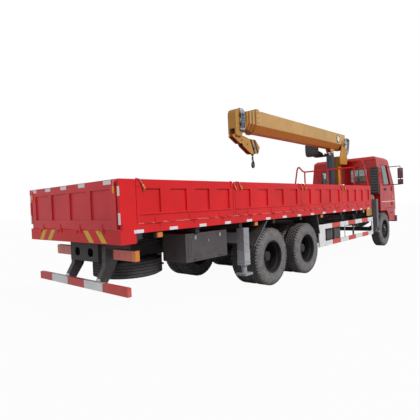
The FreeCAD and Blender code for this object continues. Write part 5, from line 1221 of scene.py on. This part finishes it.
def add_cab_trim():
    """Window seals, wipers, grille bars, lamps on the roof edge, grab rails and step treads of the cab."""
    form = Form()
    for hand in (1, -1):
        form.tube([(4.0585, hand * y, z) for y, z in ((0.235, 2.065), (0.765, 2.065), (0.765, 2.475),
                                                      (0.235, 2.475))], 0.012, 8, closed=True)
        form.tube([(4.064, hand * 0.50, 2.075), (4.064, hand * 0.50, 2.465)], 0.011, 8)
    corners = [(5.575, 1.0525, 1.985), (5.575, -1.0525, 1.985), (5.348, -0.963, 2.672), (5.348, 0.963, 2.672)]
    form.tube(corners, 0.014, 8, closed=True)
    form.finish = 1
    for y in (-0.75, 0.0, 0.62):
        form.rod((5.600, y, 1.945), (5.585, y, 1.945), 0.022, 16)
        form.tube([(5.598, y, 1.95), (5.582, y + 0.05, 2.06), (5.500, y + 0.24, 2.29)], [0.009, 0.007, 0.005], 8)
        form.tube([(5.548, y - 0.02, 2.13), (5.505, y + 0.25, 2.30), (5.470, y + 0.46, 2.42)],
                  [0.006, 0.008, 0.006], 8)
    for row in range(6):
        z = 1.194 + row * 0.085
        form.box((5.600, -0.640, z), (5.628, 0.640, z + 0.016))
    form.box((5.590, -0.665, 1.186), (5.632, -0.640, 1.640))
    form.box((5.590, 0.640, 1.186), (5.632, 0.665, 1.640))
    for hand in (1, -1):
        form.box((4.96, hand * 1.142, 1.004), (5.30, hand * 1.156, 1.030))
        form.tube([(4.30, hand * 1.152, 2.02), (4.30, hand * 1.182, 2.04), (4.30, hand * 1.135, 2.44),
                   (4.30, hand * 1.085, 2.46)], 0.010, 10)
        form.tube([(5.605, hand * 0.93, 1.70), (5.628, hand * 0.94, 1.70), (5.628, hand * 0.94, 1.86),
                   (5.590, hand * 0.93, 1.87)], 0.009, 10)
    form.finish = 2
    for hand in (1, -1):
        form.box((5.602, hand * 0.78, 1.30), (5.626, hand * 1.10, 1.44))
    form.finish = 3
    for hand in (1, -1):
        form.box((5.24, hand * 1.140, 1.52), (5.32, hand * 1.162, 1.58))
        for y in (0.35, 0.75):
            form.box((5.150, hand * y - 0.06, 2.862), (5.215, hand * y + 0.06, 2.889))
    form.make("cab_trim", "cab", [FINISHES["hose"], FINISHES["black_plastic"], FINISHES["clear_lens"],
                                  FINISHES["amber_lens"]], bevel=0.004)
    form = Form()
    # painted reflection: the mirror faces carry the pinkish tint of what they reflect
    for hand in (1, -1):
        form.box((5.3665, hand * 1.340, 2.190), (5.3695, hand * 1.464, 2.490))
        form.box((5.3665, hand * 1.340, 2.000), (5.3695, hand * 1.464, 2.110))
    form.make("mirror_faces", "cab", [FINISHES["mirror_reflection_tint"]], bevel=0.001)
    form = Form()
    for k in range(9):
        z = 1.72 + k * 0.085
        form.box((3.9275, -1.135, z), (3.9305, -0.905, z + 0.030))
    form.make("intake_louvres", "cab", [FINISHES["grey_plastic"]], bevel=0.001)


def add_cab_inside():
    """Steering wheel, gear lever and padded seat bases."""
    form = Form()
    centre = Vector((5.12, 0.58, 2.02))
    lean = Matrix.Translation(centre) @ Matrix.Rotation(math.radians(-52), 4, "Y")
    ring = [lean @ Vector((0.215 * math.cos(2 * math.pi * k / 36), 0.215 * math.sin(2 * math.pi * k / 36),
                           0)) for k in range(36)]
    form.tube(ring, 0.0145, 12, closed=True)
    form.tube([lean @ Vector((0, 0, -0.02)), lean @ Vector((0, 0, -0.30))], 0.030, 14)
    for turn in (0.0, 2.2, 4.08):
        form.tube([lean @ Vector((0.03 * math.cos(turn), 0.03 * math.sin(turn), -0.02)),
                   lean @ Vector((0.21 * math.cos(turn), 0.21 * math.sin(turn), 0))], [0.016, 0.011], 10)
    form.tube([(4.98, 0.12, 1.60), (4.93, 0.12, 1.85), (4.92, 0.12, 1.95)], [0.012, 0.010, 0.020], 12)
    form.make("steering_wheel", "cab", [FINISHES["black_plastic"]], bevel=0.002)
    for hand, side in ((1, "left"), (-1, "right")):
        low_y, high_y = sorted((hand * 0.335, hand * 0.825))
        cushion(f"crew_seat_base_{side}", "cab", (4.33, low_y, 1.571), (4.775, high_y, 1.655),
                FINISHES["seat_cloth"], 0.6, (-0.4, 0.4))


# Stage

def set_stage(sizes):
    scene = bpy.context.scene
    scene.view_settings.view_transform = "Standard"
    n = Nodes("pale_floor")
    tone = n.ramp(n.noise(0.6, 3.0), (0.3, (0.40, 0.40, 0.40)), (0.7, (0.43, 0.43, 0.43)))
    n.set(Base_Color=tone, Roughness=0.9)
    light = n.node("ShaderNodeLightPath")
    glow = n.node("ShaderNodeEmission")
    glow.inputs["Color"].default_value = (1, 1, 1, 1)
    blend = n.node("ShaderNodeMixShader")
    out = n.tree.nodes["Material Output"]
    share = n.math("MULTIPLY", light.outputs["Is Camera Ray"], 0.96)
    n.link(share, blend.inputs[0])
    n.tree.links.new(n.shader.outputs[0], blend.inputs[1])
    n.tree.links.new(glow.outputs[0], blend.inputs[2])
    n.tree.links.new(blend.outputs[0], out.inputs["Surface"])
    mesh = bpy.data.meshes.new("floor")
    mesh.from_pydata([(-60, -60, -0.001), (90, -60, -0.001), (90, 90, -0.001), (-60, 90, -0.001)], [],
                     [(0, 1, 2, 3)])
    mesh.materials.append(n.material)
    floor = bpy.data.objects.new("floor", mesh)
    scene.collection.objects.link(floor)
    world = bpy.data.worlds.new("soft_sky")
    world.use_nodes = True
    scene.world = world
    tree = world.node_tree
    sky = tree.nodes["Background"]
    sky.inputs["Color"].default_value = (0.92, 0.96, 1.0, 1)
    sky.inputs["Strength"].default_value = sizes.sky_strength
    white = tree.nodes.new("ShaderNodeBackground")
    white.inputs["Color"].default_value = (1, 1, 1, 1)
    pick = tree.nodes.new("ShaderNodeMixShader")
    path = tree.nodes.new("ShaderNodeLightPath")
    tree.links.new(path.outputs["Is Camera Ray"], pick.inputs[0])
    tree.links.new(sky.outputs[0], pick.inputs[1])
    tree.links.new(white.outputs[0], pick.inputs[2])
    tree.links.new(pick.outputs[0], tree.nodes["World Output"].inputs["Surface"])
    for name, energy, place, aim, angle in (("sun", sizes.sun_strength, (1, -12, 12), (0, 0, 1.5), 8),
                                            ("fill", sizes.sun_strength * 0.22, (-16, 2, 8), (0, 0, 1.5), 40)):
        lamp = bpy.data.lights.new(name, "SUN")
        lamp.energy = energy
        lamp.angle = math.radians(angle)
        holder = bpy.data.objects.new(name, lamp)
        holder.location = place
        holder.rotation_euler = (Vector(aim) - Vector(place)).to_track_quat("-Z", "Y").to_euler()
        scene.collection.objects.link(holder)


def set_camera(sizes):
    yaw, pitch, roll = 0.732, -0.014, -0.042
    ahead = Vector((math.cos(yaw) * math.cos(pitch), math.sin(yaw) * math.cos(pitch), math.sin(pitch)))
    right = Vector((math.sin(yaw), -math.cos(yaw), 0))
    up = right.cross(ahead)
    rolled = right * math.cos(roll) + up * math.sin(roll)
    upright = up * math.cos(roll) - right * math.sin(roll)
    camera = bpy.data.cameras.new("camera")
    camera.lens = sizes.lens
    camera.sensor_width = 36.0
    camera.clip_end = 300.0
    holder = bpy.data.objects.new("camera", camera)
    bpy.context.scene.collection.objects.link(holder)
    turn = Matrix((rolled, upright, -ahead)).transposed().to_4x4()
    holder.matrix_world = Matrix.Translation((-8.232, -4.950, 1.534)) @ turn
    bpy.context.scene.camera = holder


# Panel and operators

class CranePaints(bpy.types.PropertyGroup):
    """Colours of the main finishes."""

    bed_red: bpy.props.FloatVectorProperty(name="Bed red", description="Paint of the bed, the gates and the cab",
                                           subtype="COLOR", size=3, min=0, max=1, default=(0.64, 0.0085, 0.011))
    crane_yellow: bpy.props.FloatVectorProperty(name="Crane yellow", description="Paint of the column and the boom",
                                                subtype="COLOR", size=3, min=0, max=1, default=(0.53, 0.315, 0.115))
    # painted shade: the colour of faces under the boom, head, hook block and column, with reflected orange light in
    # it
    underside_shade_orange: bpy.props.FloatVectorProperty(name="Crane orange",
                                                description="Shaded paint under the boom, less faded",
                                                subtype="COLOR", size=3, min=0, max=1, default=(0.50, 0.150, 0.008))
    frame_black: bpy.props.FloatVectorProperty(name="Frame black", description="Paint of the frame and the axles",
                                               subtype="COLOR", size=3, min=0, max=1, default=(0.040, 0.034, 0.036))
    tyre_rubber: bpy.props.FloatVectorProperty(name="Tyre rubber", description="Rubber of the tyres under the dust",
                                               subtype="COLOR", size=3, min=0, max=1, default=(0.060, 0.056, 0.060))


class CraneSizes(bpy.types.PropertyGroup):
    """Sizes and light levels of the dressing."""

    edge_round: bpy.props.FloatProperty(name="Edge round", description="Round of the folded sheet edges",
                                        subtype="DISTANCE",
                                        unit="LENGTH", min=0.001, max=0.02, default=0.004)
    lens: bpy.props.FloatProperty(name="Lens", description="Focal length of the camera in millimetres", min=10,
                                  max=200, default=31.73)
    sky_strength: bpy.props.FloatProperty(name="Sky", description="Strength of the soft light from all round",
                                          min=0, max=5, default=0.55)
    sun_strength: bpy.props.FloatProperty(name="Sun", description="Strength of the main soft light", min=0, max=20,
                                          default=2.4)


class CRANE_OT_finishes(bpy.types.Operator):
    """Makes every paint, rubber, metal, plastic, lens and glass"""

    bl_idname = "truck_crane.finishes"
    bl_label = "Finishes"

    def execute(self, context):
        make_finishes(context.scene.crane_paints)
        return {"FINISHED"}


class CRANE_OT_stage(bpy.types.Operator):
    """Lays the pale floor and hangs the soft lights"""

    bl_idname = "truck_crane.stage"
    bl_label = "Floor, sky and lights"

    def execute(self, context):
        set_stage(context.scene.crane_sizes)
        return {"FINISHED"}


class CRANE_OT_camera(bpy.types.Operator):
    """Sets the camera behind the right rear corner"""

    bl_idname = "truck_crane.camera"
    bl_label = "Camera"

    def execute(self, context):
        set_camera(context.scene.crane_sizes)
        return {"FINISHED"}


class CRANE_OT_wheels(bpy.types.Operator):
    """Dresses the tyres, the rims and the spare wheel"""

    bl_idname = "truck_crane.wheels"
    bl_label = "Wheels"

    def execute(self, context):
        dress_wheels()
        return {"FINISHED"}


class CRANE_OT_bed(bpy.types.Operator):
    """Dresses the bed, its gates, levers and reflectors"""

    bl_idname = "truck_crane.bed"
    bl_label = "Load bed"

    def execute(self, context):
        dress_bed(context.scene.crane_sizes)
        return {"FINISHED"}


class CRANE_OT_chassis(bpy.types.Operator):
    """Dresses the frame, springs, boxes, guards and legs"""

    bl_idname = "truck_crane.chassis"
    bl_label = "Chassis"

    def execute(self, context):
        dress_chassis()
        return {"FINISHED"}


class CRANE_OT_lamps(bpy.types.Operator):
    """Builds the rear lamps with their lenses"""

    bl_idname = "truck_crane.lamps"
    bl_label = "Rear lamps"

    def execute(self, context):
        dress_lamps()
        return {"FINISHED"}


class CRANE_OT_crane(bpy.types.Operator):
    """Dresses the column, the boom, the hook and the high seat"""

    bl_idname = "truck_crane.crane"
    bl_label = "Crane"

    def execute(self, context):
        dress_crane(context.scene.crane_sizes)
        return {"FINISHED"}


class CRANE_OT_cab(bpy.types.Operator):
    """Dresses the cab, its doors, glass and mirrors"""

    bl_idname = "truck_crane.cab"
    bl_label = "Cab"

    def execute(self, context):
        dress_cab()
        return {"FINISHED"}


class CRANE_PT_dressing(bpy.types.Panel):
    """Sizes, colours and the steps of the dressing."""

    bl_label = "Truck crane"
    bl_idname = "CRANE_PT_dressing"
    bl_space_type = "VIEW_3D"
    bl_region_type = "UI"
    bl_category = "Truck crane"

    def draw(self, context):
        for group in (context.scene.crane_paints, context.scene.crane_sizes):
            box = self.layout.box()
            for word in group.__annotations__:
                box.prop(group, word)
        for step in STEPS:
            self.layout.operator(step.bl_idname)


STEPS = [CRANE_OT_finishes, CRANE_OT_stage, CRANE_OT_camera, CRANE_OT_wheels,
         CRANE_OT_bed, CRANE_OT_chassis, CRANE_OT_lamps, CRANE_OT_crane,
         CRANE_OT_cab]
CLASSES = [CranePaints, CraneSizes, *STEPS, CRANE_PT_dressing]


def register():
    for made in CLASSES:
        bpy.utils.register_class(made)
    bpy.types.Scene.crane_paints = bpy.props.PointerProperty(type=CranePaints)
    bpy.types.Scene.crane_sizes = bpy.props.PointerProperty(type=CraneSizes)


def unregister():
    del bpy.types.Scene.crane_sizes
    del bpy.types.Scene.crane_paints
    for made in reversed(CLASSES):
        bpy.utils.unregister_class(made)


def main():
    register()
    for step in STEPS:
        name = step.bl_idname.split(".")[1]
        getattr(bpy.ops.truck_crane, name)()


if __name__ == "__main__":
    main()
